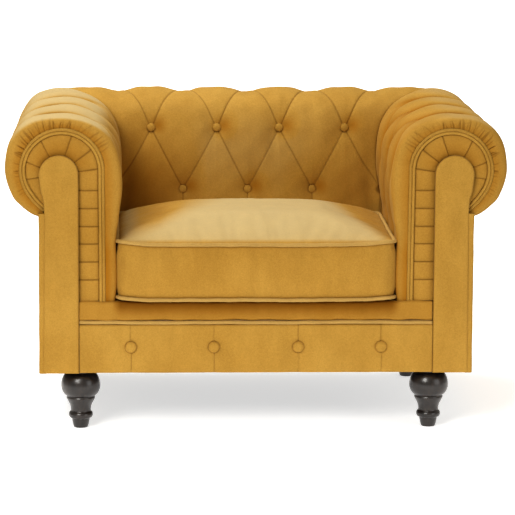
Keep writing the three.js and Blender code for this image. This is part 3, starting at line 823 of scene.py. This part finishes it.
# ---- piping ----------------------------------------------------------------------------------
def tube(path, radius, seed, closed=False):
    """Vertices and faces of a cloth-covered cord along a path, with capped ends unless it is closed."""
    path = np.asarray(path, float)
    tangent = np.roll(path, -1, 0) - np.roll(path, 1, 0) if closed else np.gradient(path, axis=0)
    tangent /= np.linalg.norm(tangent, axis=1, keepdims=True)
    start = np.array([0.0, 0.0, 1.0]) if abs(tangent[0][2]) < 0.9 else np.array([0.0, 1.0, 0.0])
    frames = []
    normal = start - tangent[0] * (start @ tangent[0])
    for t in tangent:
        normal = normal - t * (normal @ t)
        normal = normal / np.linalg.norm(normal)
        frames.append(normal)
    normal = np.array(frames)
    binormal = np.cross(tangent, normal)
    angle = np.linspace(0.0, 2 * np.pi, CORD_SIDES, endpoint=False)
    along = lengths(path)[:, None]
    twist = 0.035 * np.sin(2 * np.pi * along / 0.006 + angle[None, :]) + 0.05 * wobble(
        along, angle[None, :] / 40.0, 0.05, seed)
    r = radius * (1.0 + twist)
    grid = (path[:, None, :] + r[..., None] * (np.cos(angle)[None, :, None] * normal[:, None, :]
                                               + np.sin(angle)[None, :, None] * binormal[:, None, :]))
    faces = quads(len(path), CORD_SIDES, wrap_rows=closed, wrap_cols=True).tolist()
    if not closed:
        first = list(range(CORD_SIDES))
        faces += [first, [(len(path) - 1) * CORD_SIDES + k for k in reversed(first)]]
    return grid, faces


def arm_piping(cover):
    """A double cord round the mouth of each arm roll, the outer one lying in a little shade."""
    parts = []
    # The outer cord's 0.14 is painted shade.
    for offset, seed, shade in ((0.0, 21, 0.0), (2 * CORD_R - 0.0002, 28, 0.14)):
        line = mouth_line(offset - CORD_R, BAND_LO[2] - 0.002)
        path = np.stack([line[:, 0], np.full(len(line), BAND_LO[1] - 0.0015), line[:, 1]], 1)
        parts.append((*tube(path, CORD_R, seed), shade))
    mirror = [(mirrored(points), [face[::-1] for face in faces], shade) for points, faces, shade in parts]
    for side, cords in (("right", parts), ("left", mirror)):
        finish_piece(join_parts(f"{side}_arm_piping_cord", cords, cover), f"{side}_arm_piping")


def welt(name, path, cover, seed, closed=False):
    """A single cord with a pale painted highlight on its cover."""
    vertices, faces = tube(path, WELT_R, seed, closed)
    return make_object(name, vertices, faces, cover, nap_and_painted_light=np.full(vertices.shape[:2], WELT_PAINTED_HIGHLIGHT))


def rail_piping(cover):
    """The cord between the front border and the rail pad."""
    lo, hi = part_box("rail_piping")
    x = np.linspace(lo[0], hi[0], 220)
    z = (lo[2] + hi[2]) / 2 + 0.0008 * wobble(x, x * 0, 0.2, 4)
    path = np.stack([x, np.full(len(x), lo[1] + WELT_R), z], 1)
    finish_piece(welt("rail_piping_cord", path, cover, 22), "rail_piping")


# ---- arm fronts ------------------------------------------------------------------------------
PANEL_OUT_X = 0.4905              # outer edge of the column below the arch
PANEL_ARCH = (0.4565, 0.6030, 0.0455)     # middle, x and z, and radius
PANEL_SPINE_X = 0.4520            # the line up the middle of a panel


def panel_outline(grow=0.0):
    """Keyhole outline of a facing panel, x and z, from its inner foot round to its outer foot."""
    cx, cz, r = PANEL_ARCH
    r += grow
    inner = [(PANEL_LO[0] - grow, PANEL_LO[2]), (PANEL_LO[0] - grow, 0.58)]
    over = arc(cx, cz, r, 172.0, -8.0, 40)
    neck = [(PANEL_OUT_X + 0.0075 + grow, 0.567), (PANEL_OUT_X + 0.0015 + grow, 0.545),
            (PANEL_OUT_X + grow, 0.520)]
    outer = [(PANEL_OUT_X + 0.001 + grow, 0.40), (PANEL_OUT_X + 0.003 + grow, PANEL_LO[2])]
    return np.vstack([inner, over, smooth_curve([tuple(over[-1])] + neck, 0.003)[1:], outer])


def plate(outline, spine, y_back, y_front, ease, crown, rings=16):
    """A padded plate: its edge rounded over, its face slightly proud towards the spine."""
    reach = np.linalg.norm(spine - outline, axis=1, keepdims=True)
    layers = [np.stack([outline[:, 0], np.full(len(outline), y_back), outline[:, 1]], 1)]
    for part in np.concatenate([np.linspace(0.0, 0.25, 9), np.linspace(0.25, 1.0, rings)[1:]]):
        inset = part * reach
        flat = outline + (spine - outline) * part
        turn = unit(1.0 - inset / ease)
        dip = ease * (1.0 - np.sqrt(1.0 - turn ** 2))
        rise = crown * np.sin(0.5 * np.pi * unit(inset / 0.04))
        y = y_front + dip + crown - rise
        layers.append(np.stack([flat[:, 0], y[:, 0], flat[:, 1]], 1))
    return np.stack(layers, 0)


def facing_panels(cover):
    """The keyhole-shaped padded plate on each arm front."""
    outline = even(panel_outline(), step=0.004)
    spine_z = np.clip(outline[:, 1], PANEL_LO[2] + 0.035, PANEL_ARCH[1])
    spine = np.stack([np.full(len(outline), PANEL_SPINE_X), spine_z], 1)
    closed = np.vstack([outline, even(np.vstack([outline[-1], outline[0]]), step=0.004)[1:-1]])
    spine = np.vstack([spine, np.tile(spine[0], (len(closed) - len(outline), 1))])
    grid = plate(closed, spine, PANEL_HI[1], PANEL_LO[1] - 0.0005, 0.0055, 0.002)
    grid[..., 1] += 0.0006 * wobble(grid[..., 0], grid[..., 2], 0.08, 9)
    crease = np.zeros(grid.shape[:2])
    crease[0] = 1.0
    crease[1] = 0.3
    finish_pair("facing_panel", grid, cover, crease, fill=0.95, wrap_cols=True)


BAND_PLEATS = dict(first_z=0.3562, step=0.0419, count=6)
BAND_PLEAT_TURNS = (172.0, 143.0, 109.0, 63.0, 21.0, -8.0)


def band_lines():
    """Inner and outer edges of the pleated band at matching points, x and z."""
    outer = mouth_line(-2 * CORD_R + 0.001, BAND_LO[2])
    cx, cz, r = PANEL_ARCH
    inner = np.vstack([[(PANEL_LO[0] + 0.004, BAND_LO[2]), (PANEL_LO[0] + 0.004, cz - 0.004)],
                       arc(cx, cz, r - 0.004, 180.0, -14.0, 90),
                       [(PANEL_OUT_X + 0.003, 0.567), (PANEL_OUT_X - 0.004, 0.530)]])
    foot = np.linspace(0.0, 1.0, 120)[:-1, None]
    wanted = np.linspace(180.0, -67.5, 240)
    sides = []
    for line in (inner, outer):
        turn = np.degrees(np.unwrap(np.arctan2(line[:, 1] - cz, line[:, 0] - cx) % (2 * math.pi)))
        over = np.stack([np.interp(-wanted, -turn, line[:, k]) for k in (0, 1)], 1)
        sides.append(np.vstack([line[0] + (over[0] - line[0]) * foot, over]))
    return sides


def band_pleats(middle):
    """Sawtooth height along the band: each pleat laps over the next one."""
    cx, cz, _ = PANEL_ARCH
    along = lengths(middle)
    turn = np.degrees(np.arctan2(middle[:, 1] - cz, middle[:, 0] - cx))
    on_arch = (middle[:, 1] > 0.604) | (middle[:, 0] > cx)
    edges = [along[np.argmin(np.abs(middle[:, 1] - z) + 10.0 * on_arch)]
             for z in BAND_PLEATS["first_z"] + BAND_PLEATS["step"] * np.arange(BAND_PLEATS["count"])]
    edges += [along[np.argmin(np.abs(turn - t) + 1000.0 * ~on_arch)] for t in BAND_PLEAT_TURNS]
    edges = np.array(sorted(edges))
    after = np.searchsorted(edges, along)
    start = np.concatenate([[along[0] - 0.02], edges])[after]
    stop = np.concatenate([edges, [along[-1] + 0.02]])[after]
    part = (along - start) / (stop - start)
    height = 0.0034 * part ** 3 + 0.0010 * np.sin(np.pi * part)
    line = np.min(np.abs(along[:, None] - edges[None, :]), axis=1)
    return height, bell(line, 0.0013)


def pleated_bands(cover):
    """The pleated strip between each facing panel and its piping."""
    inner, outer = band_lines()
    middle = (inner + outer) / 2
    dense = even(middle, step=0.0012)
    at = lengths(middle)
    where = lengths(dense)
    inner = np.stack([np.interp(where, at, inner[:, k]) for k in (0, 1)], 1)
    outer = np.stack([np.interp(where, at, outer[:, k]) for k in (0, 1)], 1)
    height, line = band_pleats((inner + outer) / 2)
    across = np.linspace(0.0, 1.0, 15)
    flat = inner[:, None] + (outer - inner)[:, None] * across[None, :, None]
    crown = 1.0 - np.abs(2 * across - 1) ** 3
    y = BAND_LO[1] + 0.002 - (0.0035 * crown)[None, :] - height[:, None] * (0.45 + 0.55 * crown)[None, :]
    grid = np.stack([flat[..., 0], y, flat[..., 1]], -1)
    crease = 0.65 * np.repeat(line[:, None], len(across), 1)
    crease[:, 0] = 1.0
    crease[:, -1] = np.maximum(crease[:, -1], 0.9)
    # Painted shade: the band a little darker all over, and darker under the arch next to the panel.
    nap_and_painted_light = 0.2 + 0.5 * unit((flat[..., 1] - 0.60) / 0.03) * (1.0 - across[None, :])
    finish_pair("pleated_band", grid, cover, crease, (nap_and_painted_light, nap_and_painted_light), fill=0.7)


# ---- outside covers --------------------------------------------------------------------------
def outside_arms(cover):
    """A flat padded side that wraps round to the edge of the facing panel."""
    y0, y1 = PANEL_LO[1] + 0.005, SIDE_HI[1]
    z0, z1 = SIDE_LO[2], SIDE_HI[2] + 0.008
    turn = arc(SIDE_HI[0] - 0.005, y0 + 0.005, 0.005, 270.0, 360.0, 7)
    rear = arc(SIDE_HI[0] - 0.006, y1 - 0.006, 0.006, 0.0, 90.0, 7)
    straight = even(np.vstack([turn[-1], rear[0]]), step=0.008)
    plan = np.vstack([[(PANEL_OUT_X - 0.004, y0)], turn, straight[1:-1], rear,
                      [(SIDE_HI[0] - 0.02, y1)]])
    z = np.linspace(z0, z1, 60)
    x = np.repeat(plan[:, :1], len(z), 1)
    y = np.repeat(plan[:, 1:], len(z), 1)
    zz = np.repeat(z[None, :], len(plan), 0)
    flank = x > SIDE_HI[0] - 0.0005
    swell = np.sin(np.pi * (zz - z0) / (z1 - z0)) * np.sin(np.pi * unit((y - y0) / (y1 - y0)))
    x = x + flank * (0.003 * swell + 0.0008 * wobble(y, zz, 0.2, 8))
    grid = np.stack([x, y, zz], -1)
    finish_pair("outside_arm", grid, cover, fill=0.95, flip=True)


def outside_back(cover):
    """The flat cover of the rear, swelling slightly, tucked in at its sides."""
    x = np.linspace(REAR_LO[0] + 0.002, REAR_HI[0] - 0.002, 150)
    z = np.linspace(REAR_LO[2], REAR_HI[2] + 0.004, 60)
    xx, zz = np.meshgrid(x, z, indexing="ij")
    edge = np.minimum(xx - x[0], x[-1] - xx)
    tuck = 0.004 * np.exp(-edge / 0.004)
    swell = np.sin(np.pi * (xx - x[0]) / (x[-1] - x[0])) * np.sin(np.pi * (zz - z[0]) / (z[-1] - z[0]))
    y = REAR_HI[1] + 0.0035 * swell - tuck + 0.0008 * wobble(xx, zz, 0.2, 6)
    piece = grid_object("outside_back_cover", np.stack([xx, y, zz], -1), cover, bell(edge, 0.002))
    finish_piece(piece, "outside_back", fill=0.95)


# ---- front of the seat -----------------------------------------------------------------------
def run_across(x, line):
    """Grid of a section, y and z, repeated at each x."""
    grid = np.empty((len(x), len(line), 3))
    grid[..., 0] = x[:, None]
    grid[..., 1:] = line
    return grid


def front_face(z0, z1, x0, x1, y_front, step=0.003):
    """Grid over a strip of the front: rounded top and bottom edges, flat between."""
    y_back = PAD_HI[1]
    ease = 0.006
    low = arc(y_front + ease, z0 + ease, ease, 270.0, 180.0, 7)
    high = arc(y_front + ease, z1 - ease, ease, 180.0, 90.0, 7)
    face = even(np.vstack([low[-1], high[0]]), step=step)
    line = np.vstack([[(y_back, z0)], low, face[1:-1], high, [(y_back, z1)]])
    return run_across(np.arange(x0, x1 + step / 2, step), line)


def front_rail_pad(cover):
    """The pad below the piping, drawn in at its buttons and the seams through them."""
    grid = front_face(PAD_LO[2], PAD_HI[2], PAD_LO[0], PAD_HI[0], PAD_LO[1], 0.0025)
    x, z = grid[..., 0], grid[..., 2]
    seam = np.min([np.abs(x - bx - 0.0012 * wobble(z, z * 0, 0.05, 2)) for bx in RAIL_BUTTONS_X], axis=0)
    pit = np.min([np.hypot(x - bx, z - RAIL_BUTTON_Z) for bx in RAIL_BUTTONS_X], axis=0)
    depth = 0.0010 * np.exp(-seam / 0.003) + 0.0018 * bell(seam, 0.03)
    depth += 0.0060 * bell(pit, 0.017) + 0.0007 * wobble(x, z, 0.12, 12)
    grid[..., 1] += np.where(grid[..., 1] < PAD_HI[1] - 0.001, depth - 0.002, 0.0)
    crease = unit(0.45 * bell(seam, 0.0012) + 0.8 * np.exp(-(pit / 0.0136) ** 12))
    piece = grid_object("front_rail_pad_cover", grid, cover, crease, flip=True)
    finish_piece(piece, "front_rail_pad", fill=0.9)


def front_border(cover):
    """The plain border under the cushion, in shade where the cushion overhangs it."""
    grid = front_face(BORDER_LO[2], BORDER_HI[2], BORDER_LO[0], BORDER_HI[0], BORDER_LO[1])
    x, z = grid[..., 0], grid[..., 2]
    grid[..., 1] += 0.0009 * wobble(x, z, 0.09, 14)
    grid[..., 2] += 0.0010 * wobble(x, z * 0, 0.12, 15)
    # Painted shade: the whole border a little darker, and much darker just under the cushion's overhang.
    shelter = unit((0.335 - np.abs(x)) / 0.02) * bell(BORDER_HI[2] - z, 0.026)
    piece = grid_object("front_border_cover", grid, cover, 0.72 * shelter, 0.38 + 0.85 * shelter, flip=True)
    finish_piece(piece, "front_border", fill=0.85)


def seat_deck(cloth):
    """The padded platform under the cushion."""
    x = np.linspace(DECK_LO[0], DECK_HI[0], 110)
    ease = 0.008
    front = arc(DECK_LO[1] + ease, DECK_HI[2] - ease, ease, 180.0, 90.0, 6)
    rear = arc(DECK_HI[1] - ease, DECK_HI[2] - ease, ease, 90.0, 0.0, 6)
    flat = even(np.vstack([front[-1], rear[0]]), step=0.008)
    line = np.vstack([[(DECK_LO[1], DECK_LO[2])], front, flat[1:-1], rear, [(DECK_HI[1], DECK_LO[2])]])
    grid = run_across(x, line)
    on_top = grid[..., 2] > DECK_HI[2] - 0.001
    grid[..., 2] -= on_top * (0.0015 + 0.0012 * wobble(grid[..., 0], grid[..., 1], 0.15, 17))
    piece = grid_object("seat_deck_cloth", grid, cloth, None, wrap_cols=True, flip=True)
    finish_piece(piece, "seat_deck", fill=0.8)


# ---- cushion ---------------------------------------------------------------------------------
CUSHION_CORNER = 0.030
CROWN_SCALES = (1.0, 0.985, 0.96, 0.93, 0.89, 0.84, 0.77, 0.68, 0.56, 0.4, 0.2, 0.02)
SEAM_INSET = -0.0005              # of the cover's own seams, against the middle of the CAD welt
WELT_INSET = -0.0030              # and of the cords sewn into them
PRESSURE_FRAMES = 20
TOP_SEAM = (WELT_HI[2] - WELT_R, 0.010, 0.009)     # height, rise at the front corners, fall at the rear
BOTTOM_SEAM = (CUSHION_LO[2] + 0.004, 0.006, 0.0)


def cushion_ring(inset, count=400):
    """Plan of the cushion's seam, bowing in slightly between its corners."""
    x1, x0 = WELT_HI[0] - WELT_R - inset, WELT_LO[0] + WELT_R + inset
    y1, y0 = WELT_HI[1] - WELT_R - inset, WELT_LO[1] + WELT_R + inset
    r = max(CUSHION_CORNER - inset, 0.004)
    ring = np.vstack([
        arc(x1 - r, y0 + r, r, 270.0, 360.0, 10), arc(x1 - r, y1 - r, r, 0.0, 90.0, 10),
        arc(x0 + r, y1 - r, r, 90.0, 180.0, 10), arc(x0 + r, y0 + r, r, 180.0, 270.0, 10),
    ])
    ring = even(np.vstack([ring, ring[:1]]), count=count + 1)[:-1]
    cx, cy = (x0 + x1) / 2, (y0 + y1) / 2
    u, v = (ring[:, 0] - cx) / (x1 - cx), (ring[:, 1] - cy) / (y1 - cy)
    ring[:, 0] -= np.sign(u) * 0.002 * (1 - v ** 2) * (np.abs(u) > 0.96)
    return ring


def seam_height(ring, base, lift, fall):
    """Height of a seam along the ring: the front corners ride up a little, the rear ones sink."""
    cx, cy = ring.mean(0)
    u = np.abs(ring[:, 0] - cx) / np.abs(ring[:, 0] - cx).max()
    v = np.abs(ring[:, 1] - cy) / np.abs(ring[:, 1] - cy).max()
    front = unit(0.5 - (ring[:, 1] - cy) / 0.06)
    corner = (u * v) ** 6 * lift * front - u ** 3 * v ** 3 * fall * (1.0 - front)
    return base + corner + 0.0010 * wobble(ring[:, 0], ring[:, 1], 0.18, 18)


def cushion_shell():
    """Closed start shape: rings from the middle of the bottom, up the boxing, to the crown."""
    top, bottom = TOP_SEAM[0], BOTTOM_SEAM[0]
    centre = np.array([0.0, (CUSHION_LO[1] + CUSHION_HI[1]) / 2])
    levels = [(0.02, bottom - 0.003), (0.5, bottom - 0.003), (0.9, bottom - 0.002), (1.0, bottom)]
    levels += [(1.009, bottom + h * (top - bottom)) for h in (0.2, 0.4, 0.6, 0.8)]
    levels += [(scale, top) for scale in CROWN_SCALES]
    ring = cushion_ring(SEAM_INSET)
    rings = []
    for scale, z in levels:
        flat = centre + (ring - centre) * scale
        up = max(0.0, (z - bottom) / (top - bottom))
        lift, fall = (low + (high - low) * up for low, high in zip(BOTTOM_SEAM[1:], TOP_SEAM[1:]))
        height = seam_height(ring, z, lift * scale ** 8, fall * scale ** 3)
        if z == top:
            u, v = np.abs((flat - centre) / np.abs(ring - centre).max(0)).T
            height += 0.034 * np.maximum((1 - u ** 2.6) * (1 - v ** 2.6), 0.0) ** 0.55
        rings.append(np.column_stack([flat, height]))
    return np.stack(rings)


def cushion_top_painted_light(x, y):
    """Painted light on the cushion's top: a pale painted highlight over most of it, less near the front
    edge, and painted shade towards the rear corners, most on the left.
    """
    u, w = (np.array([x, y]).T - CUSHION_LO[:2]).T / (CUSHION_HI[:2] - CUSHION_LO[:2])[:, None]
    w = unit(w)
    left = 0.34 * (1.0 - np.exp(-w / 0.40))
    right = 1.0 - 0.30 * (1.0 - np.exp(-w / 0.80))
    turned = unit(0.5 + (left - u) / (0.14 + 0.30 * w)) * unit(0.15 + 6.0 * u)
    turned = np.maximum(turned, 0.8 * unit(0.5 + (u - right) / 0.14))
    return 0.84 * turned ** 2 * (3.0 - 2.0 * turned) - 0.55 + 0.16 * np.exp(-w / 0.10)


def cushion_cover(cover):
    """The box cushion: a start shape, swollen, then smoothed, with its painted light and its dark seams laid
    on last.
    """
    grid = cushion_shell()
    rows, cols = grid.shape[:2]
    faces = quads(rows, cols, wrap_cols=True).tolist()
    faces.append(list(range(cols)))
    faces.append([(rows - 1) * cols + k for k in reversed(range(cols))])
    piece = make_object("cushion_cover_cloth", grid, faces, cover)
    fix_normals(piece)
    remesh(piece, 0.0055)
    inflate(piece)
    refine(piece)
    points = points_of(piece)
    x, y, z = points.T
    # Painted light: the top gets its painted highlight and shade, the boxing a little painted shade.
    on_top = unit((z - WELT_HI[2] + 0.002) / 0.008)
    set_attribute(piece.data, "nap_and_painted_light", 0.12 + on_top * (cushion_top_painted_light(x, y) - 0.12))
    set_attribute(piece.data, "crease", 0.55 * bell(seam_gap(points), 0.0065))
    finish_piece(piece, "cushion_cover", "cushion_core", body="cushion", fill=0.85)


def apply_modifiers(piece):
    """Bakes a piece's modifiers into its mesh."""
    bpy.context.view_layer.objects.active = piece
    depsgraph = bpy.context.evaluated_depsgraph_get()
    baked = bpy.data.meshes.new_from_object(piece.evaluated_get(depsgraph))
    piece.modifiers.clear()
    old = piece.data
    piece.data = baked
    bpy.data.meshes.remove(old)
    piece.data.polygons.foreach_set("use_smooth", np.ones(len(piece.data.polygons), bool))


def fix_normals(piece):
    """Turns every face of a closed piece outwards."""
    bm = bmesh.new()
    bm.from_mesh(piece.data)
    bmesh.ops.recalc_face_normals(bm, faces=bm.faces)
    bm.to_mesh(piece.data)
    bm.free()


def remesh(piece, size):
    """Covers a closed piece with even faces of about that size."""
    modifier = piece.modifiers.new("remesh", "REMESH")
    modifier.mode = "VOXEL"
    modifier.voxel_size = size
    apply_modifiers(piece)


def points_of(piece):
    """The points of a piece's mesh, as rows of x, y and z."""
    data = np.empty(len(piece.data.vertices) * 3)
    piece.data.vertices.foreach_get("co", data)
    return data.reshape(-1, 3)


def seam_gap(points):
    """Distance of each point from the nearest cushion seam."""
    nearest = np.full(len(points), 1.0)
    for seam in (TOP_SEAM, BOTTOM_SEAM):
        ring = cushion_ring(SEAM_INSET)
        line = np.column_stack([ring, seam_height(ring, *seam)])
        for chunk in np.array_split(line, 20):
            gap = np.linalg.norm(points[:, None, :] - chunk[None, :, :], axis=2).min(1)
            nearest = np.minimum(nearest, gap)
    return nearest


def seam_pull(points):
    """1 on a cushion seam and under the cushion, falling to 0 within a few millimetres."""
    hold = unit(1.6 - seam_gap(points) / 0.005)
    return np.where(points[:, 2] < CUSHION_LO[2] + 0.0045, 1.0, hold)


def hold_seams(piece):
    """Marks the points of the cushion that the cloth solver leaves where they are."""
    hold = seam_pull(points_of(piece))
    group = piece.vertex_groups.new(name="seams")
    for i in np.nonzero(hold > 0.01)[0]:
        group.add([int(i)], float(hold[i]), "REPLACE")


def blow_up(piece):
    """Runs the cloth solver on the cushion: air presses from inside, and its seams are held."""
    hold_seams(piece)
    cloth = piece.modifiers.new("cloth", "CLOTH")
    settings = cloth.settings
    settings.quality = 4
    settings.mass = 0.3
    settings.tension_stiffness = 12.0
    settings.compression_stiffness = 12.0
    settings.bending_stiffness = 0.6
    settings.use_pressure = True
    settings.uniform_pressure_force = 3.0
    settings.shrink_min = -0.012
    settings.vertex_group_mass = "seams"
    settings.effector_weights.gravity = 0.0
    cloth.collision_settings.use_collision = False
    for number in range(1, PRESSURE_FRAMES + 1):
        bpy.context.scene.frame_set(number)
    apply_modifiers(piece)
    piece.vertex_groups.clear()
    bpy.context.scene.frame_set(1)


def inflate(piece):
    """Swells the cushion, but no point by more than 22 mm on its top or 4 mm elsewhere."""
    before = points_of(piece)
    blow_up(piece)
    move = points_of(piece) - before
    size = np.linalg.norm(move, axis=1, keepdims=True)
    most = np.where(before[:, 2:] > WELT_HI[2] - 0.002, 0.022, 0.004)
    capped = before + move * np.minimum(1.0, most / np.maximum(size, 1e-9))
    capped[:, 2] = np.maximum(capped[:, 2], CUSHION_LO[2])
    piece.data.vertices.foreach_set("co", capped.ravel())


def refine(piece):
    """Smooths a piece and gives it four faces for each one."""
    smooth = piece.modifiers.new("smooth", "SMOOTH")
    smooth.factor = 0.5
    smooth.iterations = 3
    subdivide = piece.modifiers.new("subdivide", "SUBSURF")
    subdivide.levels = 1
    subdivide.render_levels = 1
    apply_modifiers(piece)


def cushion_welts(cover):
    """The cord along each of the cushion's two seams."""
    for name, seam in (("top", TOP_SEAM), ("bottom", BOTTOM_SEAM)):
        ring = cushion_ring(WELT_INSET, 520)
        path = np.column_stack([ring, seam_height(ring, *seam)])
        piece = welt(f"cushion_{name}_welt_cord", path, cover, 31, closed=True)
        finish_piece(piece, f"cushion_{name}_welt", body="cushion")


def cushion_zip(plastic):
    """Two rows of teeth and a slider across the back of the cushion."""
    lo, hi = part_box("cushion_zip")
    z = (lo[2] + hi[2]) / 2
    y = WELT_HI[1] - 0.004
    parts = []
    for i, x in enumerate(np.arange(lo[0], hi[0], 0.004)):
        parts.append(block((x, y, z + (0.0012 if i % 2 else -0.0012)), (0.0024, 0.002, 0.004)))
    parts.append(block((lo[0] + 0.02, y + 0.001, z), (0.011, 0.005, 0.008)))
    parts.append(block((lo[0] + 0.034, y + 0.002, z), (0.018, 0.0016, 0.005)))
    piece = join_parts("cushion_zip_teeth", parts, plastic)
    finish_piece(piece, "cushion_zip", body="cushion", slot="zip_plastic")


def block(centre, size):
    """(vertices, faces, crease) of a small block with chamfered edges."""
    sx, sy, sz = (s / 2 for s in size)
    cut = 0.3 * min(size)
    outline = [(-sx, -sz + cut), (-sx + cut, -sz), (sx - cut, -sz), (sx, -sz + cut),
               (sx, sz - cut), (sx - cut, sz), (-sx + cut, sz), (-sx, sz - cut)]
    vertices = [(centre[0] + x, centre[1] + y, centre[2] + z) for y in (-sy, sy) for x, z in outline]
    faces = [list(range(8)), [15, 14, 13, 12, 11, 10, 9, 8]]
    faces += [[k, k + 8, (k + 1) % 8 + 8, (k + 1) % 8] for k in range(8)]
    return vertices, faces, 0.0


# ---- feet and underside ----------------------------------------------------------------------
FOOT_PROFILE = [
    (0.0005, 0.0), (0.0145, 0.0), (0.0168, 0.0018), (0.0180, 0.0060), (0.0196, 0.0130), (0.0208, 0.0200),
    (0.0216, 0.0222), (0.0258, 0.0240), (0.0279, 0.0280), (0.0282, 0.0320), (0.0268, 0.0358),
    (0.0242, 0.0385), (0.0235, 0.0415), (0.0240, 0.0480), (0.0258, 0.0545), (0.0292, 0.0615),
    (0.0322, 0.0672), (0.0334, 0.0700), (0.0334, 0.0725), (0.0322, 0.0745), (0.0345, 0.0765),
    (0.0385, 0.0800), (0.0424, 0.0860), (0.0450, 0.0940), (0.0457, 0.1020), (0.0447, 0.1110),
    (0.0415, 0.1200), (0.0365, 0.1275), (0.0310, 0.1315), (0.0300, 0.1340), (0.0300, 0.1375),
    (0.0005, 0.1375),
]


def feet(wood):
    """Four turned feet."""
    profile = smooth_curve(FOOT_PROFILE, 0.0012)
    angle = np.linspace(0.0, 2 * np.pi, 72, endpoint=False)
    radius = np.maximum(profile[:, :1], 0.0003)
    for side in ("right", "left"):
        for end in ("front", "rear"):
            name = f"{side}_{end}_foot"
            lo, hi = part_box(name)
            cx, cy = (lo[0] + hi[0]) / 2, (lo[1] + hi[1]) / 2
            grid = np.stack([cx + radius * np.cos(angle), cy + radius * np.sin(angle),
                             np.repeat(np.clip(profile[:, 1:], 0.0, 0.1377), len(angle), 1)], -1)
            piece = grid_object(f"{name}_turning", grid, wood, None, wrap_cols=True, flip=True)
            finish_piece(piece, name, slot="espresso_wood")


def dust_cover(cloth):
    """The black cloth under the frame, in two layers of points."""
    lo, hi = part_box("dust_cover")
    rows, cols = 90, 64
    x = np.linspace(lo[0], hi[0], rows)
    y = np.linspace(lo[1], hi[1], cols)
    xx, yy = np.meshgrid(x, y, indexing="ij")
    u = (xx - lo[0]) / (hi[0] - lo[0])
    v = (yy - lo[1]) / (hi[1] - lo[1])
    sag = 0.0025 * np.sin(np.pi * u) * np.sin(np.pi * v)
    z = lo[2] + 0.0022 - sag + 0.0005 * wobble(xx, yy, 0.12, 19)
    lower = np.stack([xx, yy, z], -1)
    upper = lower + np.array([0.0, 0.0, 0.0004])
    vertices = np.concatenate([lower.reshape(-1, 3), upper.reshape(-1, 3)])
    under = quads(rows, cols)
    over = quads(rows, cols, flip=True) + rows * cols
    piece = make_object("dust_cover_cloth", vertices, np.vstack([under, over]).tolist(), cloth)
    finish_piece(piece, "dust_cover", slot="dust_cloth")


def staples(steel):
    """Two rows that hold the dust cover's long edges."""
    lo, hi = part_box("dust_cover")
    parts = []
    for sx in np.arange(lo[0] + 0.03, hi[0] - 0.02, 0.045):
        for sy in (lo[1] + 0.012, hi[1] - 0.012):
            parts.append(block((sx, sy, lo[2] + 0.0012), (0.011, 0.0014, 0.0012)))
    finish_piece(join_parts("dust_cover_staples", parts, steel), slot="spring_steel")


def dress_frame(pine, steel):
    """Gives the timber, springs and bolts that stay as packed their own materials."""
    for name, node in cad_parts.items():
        metal = name.startswith("seat_spring") or name.endswith("_bolt")
        if metal or name.endswith(("_rail", "_post", "_block")):
            node.data.materials.clear()
            node.data.materials.append(steel if metal else pine)


# ---- stage -----------------------------------------------------------------------------------
def add_stage():
    """A round floor and, far off, a white dome that only the camera sees."""
    radius = np.linspace(0.0002, 3.0, 50)
    turn = np.linspace(0.0, 2 * np.pi, 64, endpoint=False)
    disc = np.stack([radius[:, None] * np.cos(turn), radius[:, None] * np.sin(turn),
                     np.full((len(radius), len(turn)), -0.0003)], -1)
    fade = np.repeat(unit((radius - 1.0) / 1.5)[:, None], len(turn), 1)
    tilt = np.radians(np.linspace(-89.9, 89.9, 40))
    dome = 25.0 * np.stack([np.cos(tilt)[:, None] * np.cos(turn), np.cos(tilt)[:, None] * np.sin(turn),
                            np.repeat(np.sin(tilt)[:, None], len(turn), 1)], -1)
    floor = grid_object("studio_floor", disc, studio_floor(), wrap_cols=True)
    set_attribute(floor.data, "fade", fade)
    backdrop = grid_object("studio_backdrop", dome, studio_backdrop(), wrap_cols=True)
    for ray in ("diffuse", "glossy", "transmission", "shadow"):
        setattr(backdrop, f"visible_{ray}", False)


VELVET_PIECES = (
    back_pad, arm_pads, back_buttons, arm_buttons, rail_buttons, facing_panels, pleated_bands, arm_piping,
    rail_piping, outside_arms, outside_back, front_rail_pad, front_border,
)


def main():
    """Camera, lights, every piece of the chair, then the stage."""
    add_camera()
    add_lights()
    bpy.context.scene.view_settings.view_transform = "Standard"
    bpy.context.scene.view_settings.look = "Medium High Contrast"
    cover = velvet()
    wood, pine, steel = espresso_wood(), frame_pine(), spring_steel()
    platform = woven("platform_cloth", (0.41, 0.24, 0.060), (0.36, 0.205, 0.050), 420.0)
    cambric = woven("dust_cloth", (0.030, 0.030, 0.032), (0.014, 0.014, 0.015), 380.0)
    for build in VELVET_PIECES:
        build(cover)
    seat_deck(platform)
    cushion_cover(cover)
    cushion_welts(cover)
    cushion_zip(zip_plastic())
    feet(wood)
    dust_cover(cambric)
    staples(steel)
    dress_frame(pine, steel)
    add_stage()


main()
